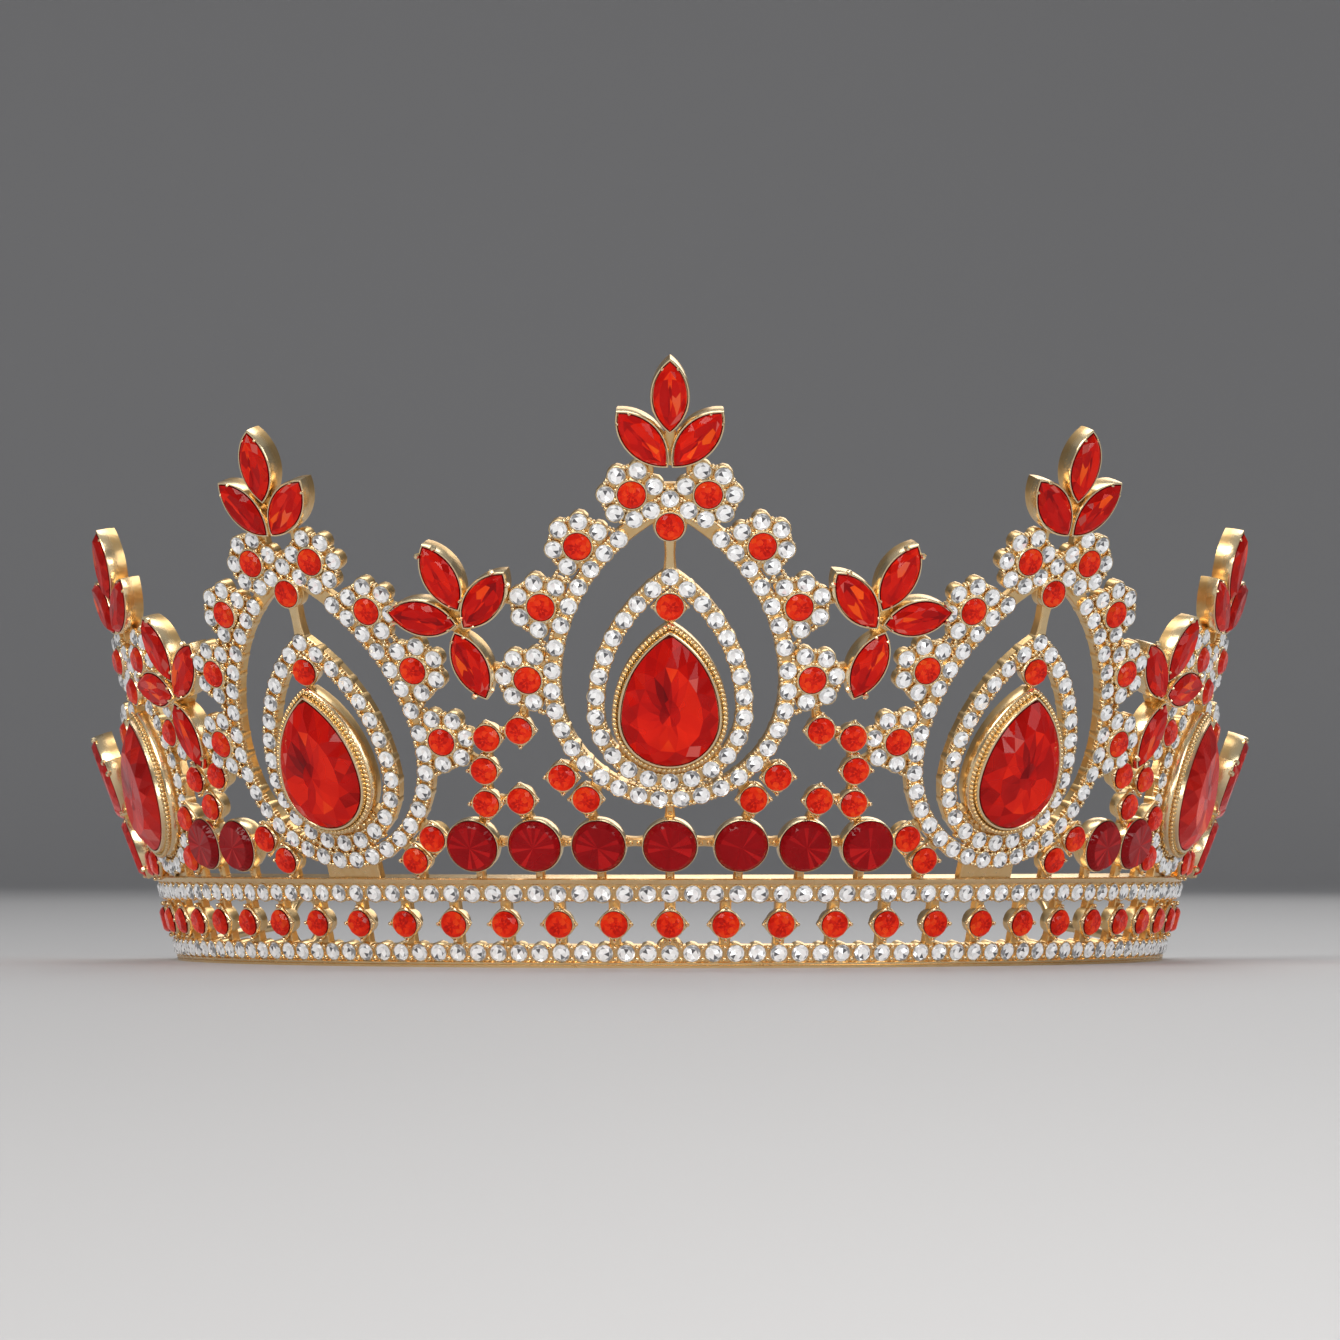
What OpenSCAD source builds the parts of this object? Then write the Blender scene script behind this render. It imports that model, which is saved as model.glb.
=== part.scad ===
// Queen crown: an open, flaring crown of cast metal set with red stones.
// It stands on its rim. The front faces -Y, +X is to the viewer's right and +Z is up.
// Everything is laid out on the crown's own surface: an angle round the head, a height up
// the slope from the rim, and a depth w outwards from the front face of the metal.

/* [Band] */
// Radius of the band's front face at its bottom edge
rim_r = 71.4; // [71:0.1:72]
// Outward lean of the band in degrees
band_lean = 15; // [14:0.5:16]
// Angle between one band setting and the next in degrees
step_deg = 5.942; // [5.9:0.001:5.96]
// Settings on each side of the middle one
side_settings = 16; // [16:1:16]
// Height up the slope of the lower rail's top edge
lower_rail_y = 3.4; // [3.2:0.1:3.5]
// Height up the slope of the row of band settings
band_row_y = 6.15; // [6.1:0.05:6.2]
// Height up the slope of the upper rail's lower edge
upper_rail_y = 8.85; // [8.8:0.05:8.9]
// Height up the slope of the upper rail's top edge
rail_top_y = 12.55; // [12.4:0.05:12.7]
// Thickness of the rails
rail_t = 2.3; // [2.1:0.1:2.4]

/* [Peaks] */
// Lean of the three front peaks in degrees
front_lean = 20; // [19:0.5:21]
// Lean of the two far peaks in degrees
far_lean = 12; // [11:0.5:13]
// Angle round the head of the second peaks
second_at = 35.65; // [35.5:0.05:35.8]
// Angle round the head of the far peaks
far_at = 70.4; // [70:0.1:70.6]
// How much lower the second peaks stand than the middle one
second_drop = 8.8; // [8.7:0.1:8.9]
// Height up the slope of the middle of the centre peak's pear frame
frame_y = 39.8; // [39.7:0.1:39.9]
// Half width of a pear frame along its row of stones
frame_a = 15.85; // [15.7:0.05:15.95]
// Radius of a pear frame's flanks
frame_rho = 28.5; // [28:0.1:29]
// Height up the slope of the middle of the centre peak's inner ring
ring_y = 36.5; // [36.4:0.1:36.6]
// Half width of an inner ring along its row of stones
ring_a = 10; // [9.9:0.05:10.1]
// Radius of an inner ring's flanks
ring_rho = 23; // [22.5:0.1:23.5]
// Radius of a far peak's ring flanks
far_ring_rho = 19; // [18.5:0.1:19.5]
// Height up the slope of the middle of the far peaks' ring
far_ring_y = 23.9; // [23.8:0.1:24]
// Height up the slope of the lowest setting of the centre peak's cluster
cluster_y = 62.6; // [62.4:0.1:62.8]
// The same height on a far peak
far_cluster_y = 39.5; // [39.4:0.1:39.7]
// Width of a metal strip that carries one row of small stones
strip_w = 2.7; // [2.6:0.1:2.8]
// Thickness of the cast plates
plate_t = 1.3; // [1.2:0.1:1.4]

/* [Stones] */
// Diameter of a small red stone
small_d = 3.7; // [3.6:0.05:3.75]
// Diameter of a large round stone
round_d = 7.1; // [7:0.05:7.15]
// Half width of a large pear stone
pear_a = 6.5; // [6.4:0.05:6.55]
// Radius of a large pear stone's flanks
pear_rho = 14.1; // [13.9:0.1:14.3]
// Length of a pointed stone
leaf_l = 9.4; // [9.2:0.05:9.5]
// Width of a pointed stone
leaf_w = 4.5; // [4.3:0.05:4.6]
// Gap between a stone and its setting
gap = 0.1; // [0.08:0.01:0.12]
// Wall of a setting
wall = 0.3; // [0.25:0.05:0.35]
// Wall of a large pear stone's bezel
bezel_wall = 1.1; // [1:0.05:1.2]

/* [End wires] */
// Diameter of the wire
wire_d = 1.5; // [1.4:0.1:1.6]
// Height of the wire's middle where it lies on the rail
wire_z = 2.1; // [2:0.1:2.3]
// Angle round the head at which the wire starts
wire_start = 78; // [74:1:84]
// Angle round the head at which the wire leaves the rail
wire_leaves = 98.5; // [98.4:0.1:99]
// Angle round the head at which the wire meets its loop
loop_at = 123.7; // [118:0.1:127]
// Radius of the loop's middle line
loop_r = 3.9; // [3.7:0.1:4.1]

/* [Hidden] */
$fn = 48;
PEAK_NAMES = ["far_left", "left", "centre", "right", "far_right"];
LEAF_NAMES = ["top", "right", "left"];

mid_lean = (front_lean + far_lean) / 2;
band_end = (side_settings + 0.42) * step_deg;
rail_top_r = rim_r + rail_top_y * sin(band_lean);
rail_top_z = rail_top_y * cos(band_lean);

// Depths of the cast metal
plate_w = -0.2;
back_w = plate_w - plate_t;
behind = 0.1;
cup_top = 0.7;
round_cup_top = 1.1;
leaf_cup_top = 1.3;
bezel_top = 2.1;
seat = 0.06;

small_cup_r = small_d / 2 + gap + wall;
round_cup_r = round_d / 2 + gap + wall;
flower_plate_r = 4.25;
cluster_plate_r = 3.9;
corner_plate_r = small_cup_r + 0.25;
hub_r = 2;
pear_below = 0.5;
shell_top_y = 82;

// Solder on the wire's joints, and how far short of a joint each stretch stops, in degrees
bead_d = wire_d + 0.4;
wire_step = 0.3;

// Flat posts, bars and tabs between the settings
post_w = 1.5;
post_h = 7.2;
post_t = 1.2;
post_back_w = -1.7;
cluster_bar_h = 7;
trio_plate_w = 6;
trio_plate_h = 7;
trio_plate_y = 3;
trio_stem_h = 12;
trio_window_w = 4.4;
trio_window_h = 2.5;
trio_window_y = 5.7;
tab_w = 9;
tab_limit = 4;
bar_w = 1.3;
bar_t = 1.05;
bar_back_w = -1.4;

// How far a bar's end reaches under what it joins, from the middle of each kind of place
in_rail = 0.8;
in_small = 1.7;
in_round = 3.4;
in_flower = 3.7;
in_petal = 1.2;

// Columns of the tables below
X = 0;
Y = 1;
TURN = 2;
PHI = 0;
LEAN = 2;

// Flowers and corner settings of a front peak: x to each side, y up the slope
BIG_FLOWERS = [[12.25, 59.6], [17.15, 50.8], [18.95, 40.4]];
CORNERS = [[14.45, 26.75], [11.2, 23.8]];
// The one pair of flowers of a far peak
FAR_FLOWERS = [[11.6, 33.2]];
// Cluster of three settings and its trio of leaves, from the cluster's lowest setting
CLUSTER = [[0, 0], [5.07, 4.4], [-5.07, 4.4]];
LEAVES = [[0, 18.25, 0], [3.65, 12.3, -41], [-3.65, 12.3, 41]];
inner_red_y = 51.35;

// The five peaks, from left to right: angle, drop, lean, and whether it is a far peak
PEAKS = [
    [-far_at, 0, far_lean, true],
    [-second_at, second_drop, front_lean, false],
    [0, 0, front_lean, false],
    [second_at, second_drop, front_lean, false],
    [far_at, 0, far_lean, true]];
DROP = 1;
FAR = 3;

// Large round settings: angle, height and lean
ROUNDS = [
    [-57.5, 17.7, mid_lean], [-51.3, 17.4, mid_lean],
    [-20.3, 17.6, front_lean], [-13.7, 17.6, front_lean], [-7.15, 17.6, front_lean],
    [0, 17.6, front_lean],
    [7.15, 17.6, front_lean], [13.7, 17.6, front_lean], [20.3, 17.6, front_lean],
    [51.3, 17.4, mid_lean], [57.5, 17.7, mid_lean]];
// Row of the middle one
MID = 5;

// Four-petal flowers of the right side: angle, height and lean of the middle
FLOWERS = [[18.95, 49.5, front_lean], [56.2, 39.5, mid_lean], [86, 23.5, 21]];
// Petals of such a flower: outwards from its middle, up, and turn of the petal's axis
PETALS = [[1.4, 6.35, 66.5], [-4.15, 3.1, 130], [4.8, 0.7, 11], [-1.35, -6.05, 250]];

// Small settings of the chains on the right side: angle, height and lean
CHAIN = [
    [14.3, 33.9, front_lean], [17.55, 32.85, front_lean], [18.2, 28.2, front_lean],
    [18.4, 23.45, front_lean], [14.8, 23.9, front_lean],
    [52.65, 27.4, mid_lean], [56.9, 26.9, mid_lean], [55.1, 22.9, mid_lean],
    [61.2, 21.2, mid_lean], [62.3, 15.5, mid_lean],
    [80.1, 19.5, far_lean], [77, 14.7, far_lean], [81.2, 14.6, far_lean], [89.5, 15, far_lean]];

// Radius and height of a point of the surface, s up the slope above the rail's top
function r_at(s, lean, w) = rail_top_r + s * sin(lean) + w * cos(lean);
function z_at(s, lean, w) = rail_top_z + s * cos(lean) - w * sin(lean);

// A place is an angle, a height up the slope and a lean
function point(q, w) =
    let (r = r_at(q[Y] - rail_top_y, q[LEAN], w))
        [r * sin(q[PHI]), -r * cos(q[PHI]), z_at(q[Y] - rail_top_y, q[LEAN], w)];
function normal(q) = point(q, 1) - point(q, 0);
function mirrored(q, side) = [side * q[PHI], q[Y], q[LEAN]];
function below(q) = [q[PHI], rail_top_y - in_rail, q[LEAN]];

// The place of x, y of a peak's flat drawing
function on_flat(p, x, y) =
    let (r = r_at(y - rail_top_y, p[LEAN], 0))
        [p[PHI] + asin(x / r), y + (r - sqrt(r * r - x * x)) * sin(p[LEAN]), p[LEAN]];

// Stands children on the band's face: x along the band, y up it, z out of it
module on_band(phi, y)
    rotate([0, 0, phi])
        translate([0, -(rim_r + y * sin(band_lean)), y * cos(band_lean)])
            rotate([90 + band_lean, 0, 0])
                children();

// Stands children at a place above the rail, square to the slope
module at_place(q)
    rotate([0, 0, q[PHI]])
        translate([0, -r_at(q[Y] - rail_top_y, q[LEAN], 0), z_at(q[Y] - rail_top_y, q[LEAN], 0)])
            rotate([90 + q[LEAN], 0, 0])
                children();

// Stands children at x, y of a peak's flat drawing, square to the curved surface there
module on_peak(p, x, y)
    at_place(on_flat(p, x, y))
        children();

// The curved shell of a peak between two depths
module shell(p, w0, w1, y0, y1) {
    lean = p[LEAN];
    s0 = y0 - rail_top_y;
    s1 = y1 - rail_top_y;
    half = 22;
    rotate([0, 0, p[PHI] - 90 - half])
        rotate_extrude(angle = 2 * half, $fn = 180)
            polygon([
                [r_at(s0, lean, w0), z_at(s0, lean, w0)],
                [r_at(s0, lean, w1), z_at(s0, lean, w1)],
                [r_at(s1, lean, w1), z_at(s1, lean, w1)],
                [r_at(s1, lean, w0), z_at(s1, lean, w0)]]);
}

// A flat drawing carried through the curved shell of a peak
module on_shell(p, w0, w1, y0, y1)
    intersection() {
        shell(p, w0, w1, y0, y1);
        at_place([p[PHI], rail_top_y, p[LEAN]])
            translate([0, -rail_top_y, -9])
                linear_extrude(14)
                    children();
    }

// Outline of a pear: a round foot of half width a and two flanks of radius rho
module pear(a, rho, grow = 0) {
    circle(r = a + grow);
    intersection() {
        translate([a - rho, 0])
            circle(r = rho + grow);
        translate([rho - a, 0])
            circle(r = rho + grow);
        translate([-2 * rho, 0])
            square([4 * rho, 2 * rho]);
    }
}

module pear_ring(a, rho, w)
    difference() {
        pear(a, rho, w / 2);
        pear(a, rho, -w / 2);
    }

// Outline of a pointed leaf, tip to tip along y
module leaf(l, w, grow = 0) {
    r = (l * l / 4 + w * w / 4) / w;
    intersection() {
        translate([r - w / 2, 0])
            circle(r = r + grow);
        translate([w / 2 - r, 0])
            circle(r = r + grow);
    }
}

// A round setting: floor at depth 0, a wall round the stone and a foot behind
module cup(r, top)
    rotate_extrude()
        polygon([
            [0, back_w - behind], [r, back_w - behind], [r, top],
            [r - wall, top], [r - wall, 0], [0, 0]]);

module small_cup()
    cup(small_cup_r, cup_top);

module leaf_cup()
    difference() {
        translate([0, 0, back_w - behind])
            linear_extrude(leaf_cup_top - back_w + behind)
                leaf(leaf_l, leaf_w, gap + wall);
        linear_extrude(3)
            leaf(leaf_l, leaf_w, gap);
    }

// A short flat bar between two places, stopping short of each by an amount
module bar(from, from_in, to, to_in) {
    a = point(from, bar_back_w);
    b = point(to, bar_back_w);
    along = (b - a) / norm(b - a);
    out = normal(from) + normal(to);
    level = out - (out * along) * along;
    up = level / norm(level);
    across = cross(up, along);
    multmatrix([
        [along[0], across[0], up[0], a[0]],
        [along[1], across[1], up[1], a[1]],
        [along[2], across[2], up[2], a[2]]])
        translate([from_in, -bar_w / 2, 0])
            cube([norm(b - a) - from_in - to_in, bar_w, bar_t]);
}

// Lower rail, whose bottom face is flat on the table
module lower_rail()
    rotate([0, 0, -90 - band_end])
        rotate_extrude(angle = 2 * band_end, $fn = 180)
            polygon([
                [rim_r, 0],
                [rim_r + lower_rail_y * sin(band_lean), lower_rail_y * cos(band_lean)],
                [rim_r + lower_rail_y * sin(band_lean) - rail_t * cos(band_lean),
                 lower_rail_y * cos(band_lean) + rail_t * sin(band_lean)],
                [rim_r - rail_t / cos(band_lean), 0]]);

module upper_rail()
    rotate([0, 0, -90 - band_end])
        rotate_extrude(angle = 2 * band_end, $fn = 180)
            translate([rim_r, 0])
                rotate(-band_lean)
                    translate([-rail_t, upper_rail_y])
                        square([rail_t, rail_top_y - upper_rail_y]);

// The two rails with the row of settings between them, each on a short flat post
module band() {
    lower_rail();
    upper_rail();
    for (k = [-side_settings : side_settings])
        on_band(k * step_deg, band_row_y) {
            translate([0, 0, -0.3])
                small_cup();
            translate([-post_w / 2, -post_h / 2, post_back_w])
                cube([post_w, post_h, post_t]);
        }
}

function flowers(p) = p[FAR] ? FAR_FLOWERS : [for (f = BIG_FLOWERS) [f[X], f[Y] - p[DROP]]];
function corners(p) = p[FAR] ? [] : [for (c = CORNERS) [c[X], c[Y] - p[DROP]]];
function top_y(p) = p[FAR] ? far_cluster_y : cluster_y - p[DROP];
function middle_y(p) = p[FAR] ? far_ring_y : ring_y - p[DROP];
function stone_y(p) = middle_y(p) - pear_below;

// Flat drawing of the plate of a peak
module peak_drawing(p) {
    y0 = top_y(p);
    rho = p[FAR] ? far_ring_rho : ring_rho;
    foot = p[FAR] ? far_ring_y - ring_a : frame_y - p[DROP] - frame_a;
    if (!p[FAR])
        translate([0, frame_y - p[DROP]])
            pear_ring(frame_a, frame_rho, strip_w);
    translate([0, middle_y(p)])
        pear_ring(ring_a, rho, strip_w);
    translate([0, stone_y(p)])
        pear(pear_a, pear_rho, gap + bezel_wall - behind);
    // bar from the ring's tip up to the cluster
    translate([-post_w / 2, y0 - cluster_bar_h])
        square([post_w, cluster_bar_h]);
    for (c = CLUSTER)
        translate([c[X], y0 + c[Y]])
            circle(r = cluster_plate_r);
    // plate and stem of the trio, with a small window over the cluster
    difference() {
        union() {
            translate([-trio_plate_w / 2, y0 + trio_plate_y])
                square([trio_plate_w, trio_plate_h]);
            translate([-post_w / 2, y0 + trio_plate_y])
                square([post_w, trio_stem_h]);
        }
        translate([-trio_window_w / 2, y0 + trio_window_y])
            square([trio_window_w, trio_window_h]);
    }
    for (f = flowers(p))
        for (side = [-1, 1])
            translate([side * f[X], f[Y]])
                circle(r = flower_plate_r);
    for (c = corners(p))
        for (side = [-1, 1])
            translate([side * c[X], c[Y]])
                circle(r = corner_plate_r);
    // tab from the frame's foot down to the rail
    if (foot < rail_top_y + tab_limit)
        translate([-tab_w / 2, rail_top_y - in_rail])
            square([tab_w, foot - rail_top_y + in_rail]);
}

// One peak: its plate, settings, leaf settings and the deep bezel of the pear stone
module peak(p) {
    y0 = top_y(p);
    on_shell(p, back_w, plate_w, rail_top_y - 1, shell_top_y)
        peak_drawing(p);
    for (c = CLUSTER)
        on_peak(p, c[X], y0 + c[Y])
            small_cup();
    for (l = LEAVES)
        on_peak(p, l[X], y0 + l[Y])
            rotate(l[TURN])
                leaf_cup();
    for (f = concat(flowers(p), corners(p)))
        for (side = [-1, 1])
            on_peak(p, side * f[X], f[Y])
                small_cup();
    if (!p[FAR])
        on_peak(p, 0, inner_red_y - p[DROP])
            small_cup();
    on_peak(p, 0, stone_y(p))
        difference() {
            translate([0, 0, back_w - behind])
                linear_extrude(bezel_top - back_w + behind)
                    pear(pear_a, pear_rho, gap + bezel_wall);
            linear_extrude(4)
                pear(pear_a, pear_rho, gap);
        }
}

// Place of one petal of a four-petal flower
function petal_place(f, q) =
    [f[PHI] + q[X] / r_at(f[Y] - rail_top_y, f[LEAN], 0) * 180 / PI, f[Y] + q[Y], f[LEAN]];

// Places children on each petal of a four-petal flower, on the right or left side
module on_petals(f, side)
    for (q = PETALS)
        at_place(mirrored(petal_place(f, q), side))
            rotate(side * (q[TURN] - 90))
                children();

module petal_flower(f, side) {
    on_petals(f, side)
        leaf_cup();
    at_place(mirrored(f, side))
        translate([0, 0, back_w - behind])
            cylinder(r = hub_r, h = plate_t + 2 * behind);
}

module round_settings() {
    for (r = ROUNDS) {
        at_place(r)
            cup(round_cup_r, round_cup_top);
        bar(r, in_round, below(r), 0);
    }
    bar(ROUNDS[MID], in_round, [0, frame_y - frame_a, front_lean], 0);
}

// Places of a peak's own flowers and corner settings
function flower_place(k, side, i) =
    let (p = PEAKS[k], f = flowers(p)[i]) on_flat(p, side * f[X], f[Y]);
function corner_place(k, side, i) =
    let (p = PEAKS[k], c = corners(p)[i]) on_flat(p, side * c[X], c[Y]);

// All the bars of the right side
module bars() {
    // between the centre peak and the second one
    bar(flower_place(2, 1, 2), in_flower, CHAIN[0], in_small);
    for (i = [0 : 3])
        bar(CHAIN[i], in_small, CHAIN[i + 1], in_small);
    bar(CHAIN[2], in_small, flower_place(3, -1, 2), in_flower);
    bar(CHAIN[3], in_small, ROUNDS[MID + 3], in_round);
    bar(CHAIN[4], in_small, ROUNDS[MID + 2], in_round);
    bar(corner_place(2, 1, 1), in_small, ROUNDS[MID + 1], in_round);
    for (i = [0 : 2])
        bar(ROUNDS[MID + i], in_round, ROUNDS[MID + i + 1], in_round);
    bar(flower_place(2, 1, 1), in_flower, petal_place(FLOWERS[0], PETALS[1]), in_petal);
    bar(flower_place(2, 1, 2), in_flower, petal_place(FLOWERS[0], PETALS[3]), in_petal);
    bar(flower_place(3, -1, 0), in_flower, petal_place(FLOWERS[0], PETALS[2]), in_petal);
    // round the foot of the second peak
    for (side = [-1, 1])
        bar(corner_place(3, side, 1), in_small, below(corner_place(3, side, 1)), 0);
    bar(corner_place(3, 1, 0), in_small, ROUNDS[MID + 4], in_round);
    // between the second peak and the far one
    bar(flower_place(3, 1, 2), in_flower, CHAIN[5], in_small);
    for (i = [5 : 6])
        bar(CHAIN[i], in_small, CHAIN[i + 1], in_small);
    bar(CHAIN[7], in_small, ROUNDS[MID + 5], in_round);
    bar(ROUNDS[MID + 4], in_round, ROUNDS[MID + 5], in_round);
    bar(ROUNDS[MID + 5], in_round, CHAIN[8], in_small);
    bar(CHAIN[8], in_small, CHAIN[9], in_small);
    bar(CHAIN[9], in_small, below(CHAIN[9]), 0);
    bar(CHAIN[5], in_small, petal_place(FLOWERS[1], PETALS[3]), in_petal);
    bar(flower_place(4, -1, 0), in_flower, petal_place(FLOWERS[1], PETALS[2]), in_petal);
    // beyond the far peak
    for (i = [10 : 11])
        bar(CHAIN[i], in_small, CHAIN[i + 1], in_small);
    for (i = [11, 12, 13])
        bar(CHAIN[i], in_small, below(CHAIN[i]), 0);
    for (i = [12, 13])
        bar(CHAIN[i], in_small, petal_place(FLOWERS[2], PETALS[3]), in_petal);
    bar(CHAIN[10], in_small, on_flat(PEAKS[4], ring_a, CHAIN[10][Y] + 1), 0);
}

module chains(side) {
    for (c = CHAIN)
        at_place(mirrored(c, side))
            small_cup();
    mirror([side < 0 ? 1 : 0, 0, 0])
        bars();
}

// All the soldered metal of the crown but its two end wires
module crown_frame()
    color([0.88, 0.74, 0.5]) {
        band();
        for (p = PEAKS)
            peak(p);
        round_settings();
        for (side = [-1, 1]) {
            chains(side);
            for (f = FLOWERS)
                petal_flower(f, side);
        }
    }

// Radius of the wire's route, close inside the lower rail's inner face
wire_r = rim_r + wire_z * tan(band_lean) - (rail_t + wire_d / 2 + gap) / cos(band_lean);
// Tilt that lifts the free end until its loop just clears the table
wire_tilt = asin((loop_r + wire_d / 2 + 0.05 - wire_z)
    / (wire_r * sin(loop_at - wire_leaves)));

// A stretch of the wire between two angles
module wire_arc(from, to)
    rotate([0, 0, from])
        rotate_extrude(angle = to - from, $fn = 180)
            translate([wire_r, 0])
                circle(d = wire_d);

// The drop of solder on a joint of the wire
module solder_bead()
    translate([wire_r, 0, 0])
        sphere(d = bead_d);

// One end wire: along the rail, then rising freely to the loop at its tip
module end_wire(side)
    color([0.85, 0.7, 0.44])
        mirror([side < 0 ? 1 : 0, 0, 0])
            translate([0, 0, wire_z])
                rotate([0, 0, wire_leaves - 90]) {
                    wire_arc(wire_start - wire_leaves, -wire_step);
                    solder_bead();
                    rotate([wire_tilt, 0, 0]) {
                        wire_arc(wire_step, loop_at - wire_leaves - wire_step);
                        rotate([0, 0, loop_at - wire_leaves]) {
                            solder_bead();
                            translate([wire_r, loop_r, 0])
                                rotate([0, 90, 0])
                                    rotate_extrude()
                                        translate([loop_r, 0])
                                            circle(d = wire_d);
                        }
                    }
                }

// A round stone with a flat table, its foot just above the floor of its setting
module round_stone(d, girdle, table)
    rotate_extrude()
        polygon([[0, seat], [d / 2, seat], [d / 2, girdle], [d * 0.3, table], [0, table]]);

module small_stone()
    round_stone(small_d, 0.7, 1.3);

// A cut stone of any outline: straight sides, then a slope up to a smaller table
module cut_stone(girdle, table, shrink)
    hull() {
        translate([0, 0, seat])
            linear_extrude(girdle - seat)
                children();
        translate([0, 0, table - 0.1])
            linear_extrude(0.1)
                scale([shrink, shrink])
                    children();
    }

module leaf_stone()
    cut_stone(1.35, 2.1, 0.6)
        leaf(leaf_l, leaf_w, $fn = 40);

module pear_stone(p)
    color([0.82, 0.05, 0.04])
        on_peak(p, 0, stone_y(p))
            cut_stone(2.2, 3.9, 0.62)
                pear(pear_a, pear_rho, $fn = 40);

module peak_leaf(p, l)
    color([0.8, 0.05, 0.05])
        on_peak(p, l[X], top_y(p) + l[Y])
            rotate(l[TURN])
                leaf_stone();

module peak_small_stones(p)
    color([0.9, 0.12, 0.05]) {
        for (c = CLUSTER)
            on_peak(p, c[X], top_y(p) + c[Y])
                small_stone();
        for (f = concat(flowers(p), corners(p)))
            for (side = [-1, 1])
                on_peak(p, side * f[X], f[Y])
                    small_stone();
        if (!p[FAR])
            on_peak(p, 0, inner_red_y - p[DROP])
                small_stone();
    }

module band_stones()
    color([0.9, 0.12, 0.05])
        for (k = [-side_settings : side_settings])
            on_band(k * step_deg, band_row_y)
                translate([0, 0, -0.3])
                    small_stone();

module large_round_stone(r)
    color([0.6, 0.03, 0.08])
        at_place(r)
            round_stone(round_d, 1.1, 2);

module petal_stones(f, side)
    color([0.8, 0.05, 0.05])
        on_petals(f, side)
            leaf_stone();

module chain_stones(side)
    color([0.9, 0.12, 0.05])
        for (c = CHAIN)
            at_place(mirrored(c, side))
                small_stone();

crown_frame();
end_wire(-1);  // wire_left
end_wire(1);  // wire_right
band_stones();
for (i = [0 : 4]) {
    pear_stone(PEAKS[i]);
    for (j = [0 : 2])
        peak_leaf(PEAKS[i], LEAVES[j]);
    peak_small_stones(PEAKS[i]);
}
for (i = [0 : 10])
    large_round_stone(ROUNDS[i]);
for (i = [0 : 5])
    petal_stones(FLOWERS[i < 3 ? 2 - i : i - 3], i < 3 ? -1 : 1);
chain_stones(-1);  // chain_stones_left
chain_stones(1);  // chain_stones_right
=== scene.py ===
# %% [markdown]
# The looks of a queen crown.
# The crown is one open, C-shaped casting in pale gold, set with red and clear stones.
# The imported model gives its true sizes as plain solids. This file gives each of them the finish of
# the real thing: cut stones, tiny prongs, scalloped strips and the soft edges of a casting.
# Every piece is drawn flat, in millimetres, as x along the band, y up the slope and w out of the
# metal, and is then carried onto the leaning, curved surface of the crown.

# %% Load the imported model
import math

import bpy
import numpy as np
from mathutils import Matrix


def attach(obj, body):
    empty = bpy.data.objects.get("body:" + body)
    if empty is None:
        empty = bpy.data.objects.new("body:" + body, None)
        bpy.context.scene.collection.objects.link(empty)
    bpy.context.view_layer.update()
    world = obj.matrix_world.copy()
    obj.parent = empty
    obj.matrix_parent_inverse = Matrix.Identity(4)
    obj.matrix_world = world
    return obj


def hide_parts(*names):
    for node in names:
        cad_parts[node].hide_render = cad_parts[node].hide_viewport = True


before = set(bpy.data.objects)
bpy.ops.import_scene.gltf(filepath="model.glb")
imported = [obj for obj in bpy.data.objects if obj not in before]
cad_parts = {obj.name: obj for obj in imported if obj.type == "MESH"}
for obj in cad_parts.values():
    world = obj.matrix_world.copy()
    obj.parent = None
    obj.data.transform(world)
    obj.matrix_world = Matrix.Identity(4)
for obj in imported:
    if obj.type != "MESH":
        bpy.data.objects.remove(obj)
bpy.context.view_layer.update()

# %% [markdown]
# Sizes.
# These are the crown's own driving sizes, in millimetres and degrees, the same as the solids have.
# Short tables after them say where the peaks, stones and links lie, and all the rest is worked out
# from both. Depths are counted out of the metal: back_w is the back of the casting, front_w the front
# of its flat parts, on which the small stones lie, and bar_w the back of the short bars. A stone may
# be spun by up to any_way, in radians, either way.

# %% Name the sizes
MM = 0.001
rim_r = 71.4
band_lean = 15.0
step_deg = 5.942
side_settings = 16
band_row_y, rail_top_y = 6.15, 12.55
rail_t = 2.3
front_lean, mid_lean, far_lean = 20.0, 16.0, 12.0
small_r, round_r, clear_r = 1.85, 3.55, 1.18
pear_a, pear_rho = 6.5, 14.1
leaf_l, leaf_w = 9.4, 4.5
back_w, front_w, bar_w = -1.5, -0.3, -1.4
any_way = 3.1
band_end = (side_settings + 0.42) * step_deg
rail_top_r = rim_r + rail_top_y * math.sin(math.radians(band_lean))
rail_top_z = rail_top_y * math.cos(math.radians(band_lean))
print("band ends at", round(band_end, 2), "degrees, rail top radius", round(rail_top_r, 2))

# %% Name the peaks and what they carry
peaks = {
    "far_left": dict(phi=-70.4, drop=0.0, lean=far_lean, far=True),
    "left": dict(phi=-35.65, drop=8.8, lean=front_lean, far=False),
    "centre": dict(phi=0.0, drop=0.0, lean=front_lean, far=False),
    "right": dict(phi=35.65, drop=8.8, lean=front_lean, far=False),
    "far_right": dict(phi=70.4, drop=0.0, lean=far_lean, far=True),
}
big_flowers = [(12.25, 59.6), (17.15, 50.8), (18.95, 40.4)]
big_corners = [(14.45, 26.75), (11.2, 23.8)]
for peak in peaks.values():
    far, drop = peak["far"], peak["drop"]
    peak["flowers"] = [(11.6, 33.2)] if far else [(x, y - drop) for x, y in big_flowers]
    peak["corners"] = [] if far else [(x, y - drop) for x, y in big_corners]
    peak["top_y"] = 39.5 if far else 62.6 - drop
    peak["ring_y"] = 23.9 if far else 36.5 - drop
    peak["ring"] = (10.0, 19.0 if far else 23.0)
    peak["pear_y"] = peak["ring_y"] - 0.5
    peak["frame_y"] = None if far else 39.8 - drop
    peak["frame"] = None if far else (15.85, 28.5)
    peak["inner_red"] = None if far else 51.35 - drop
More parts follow.
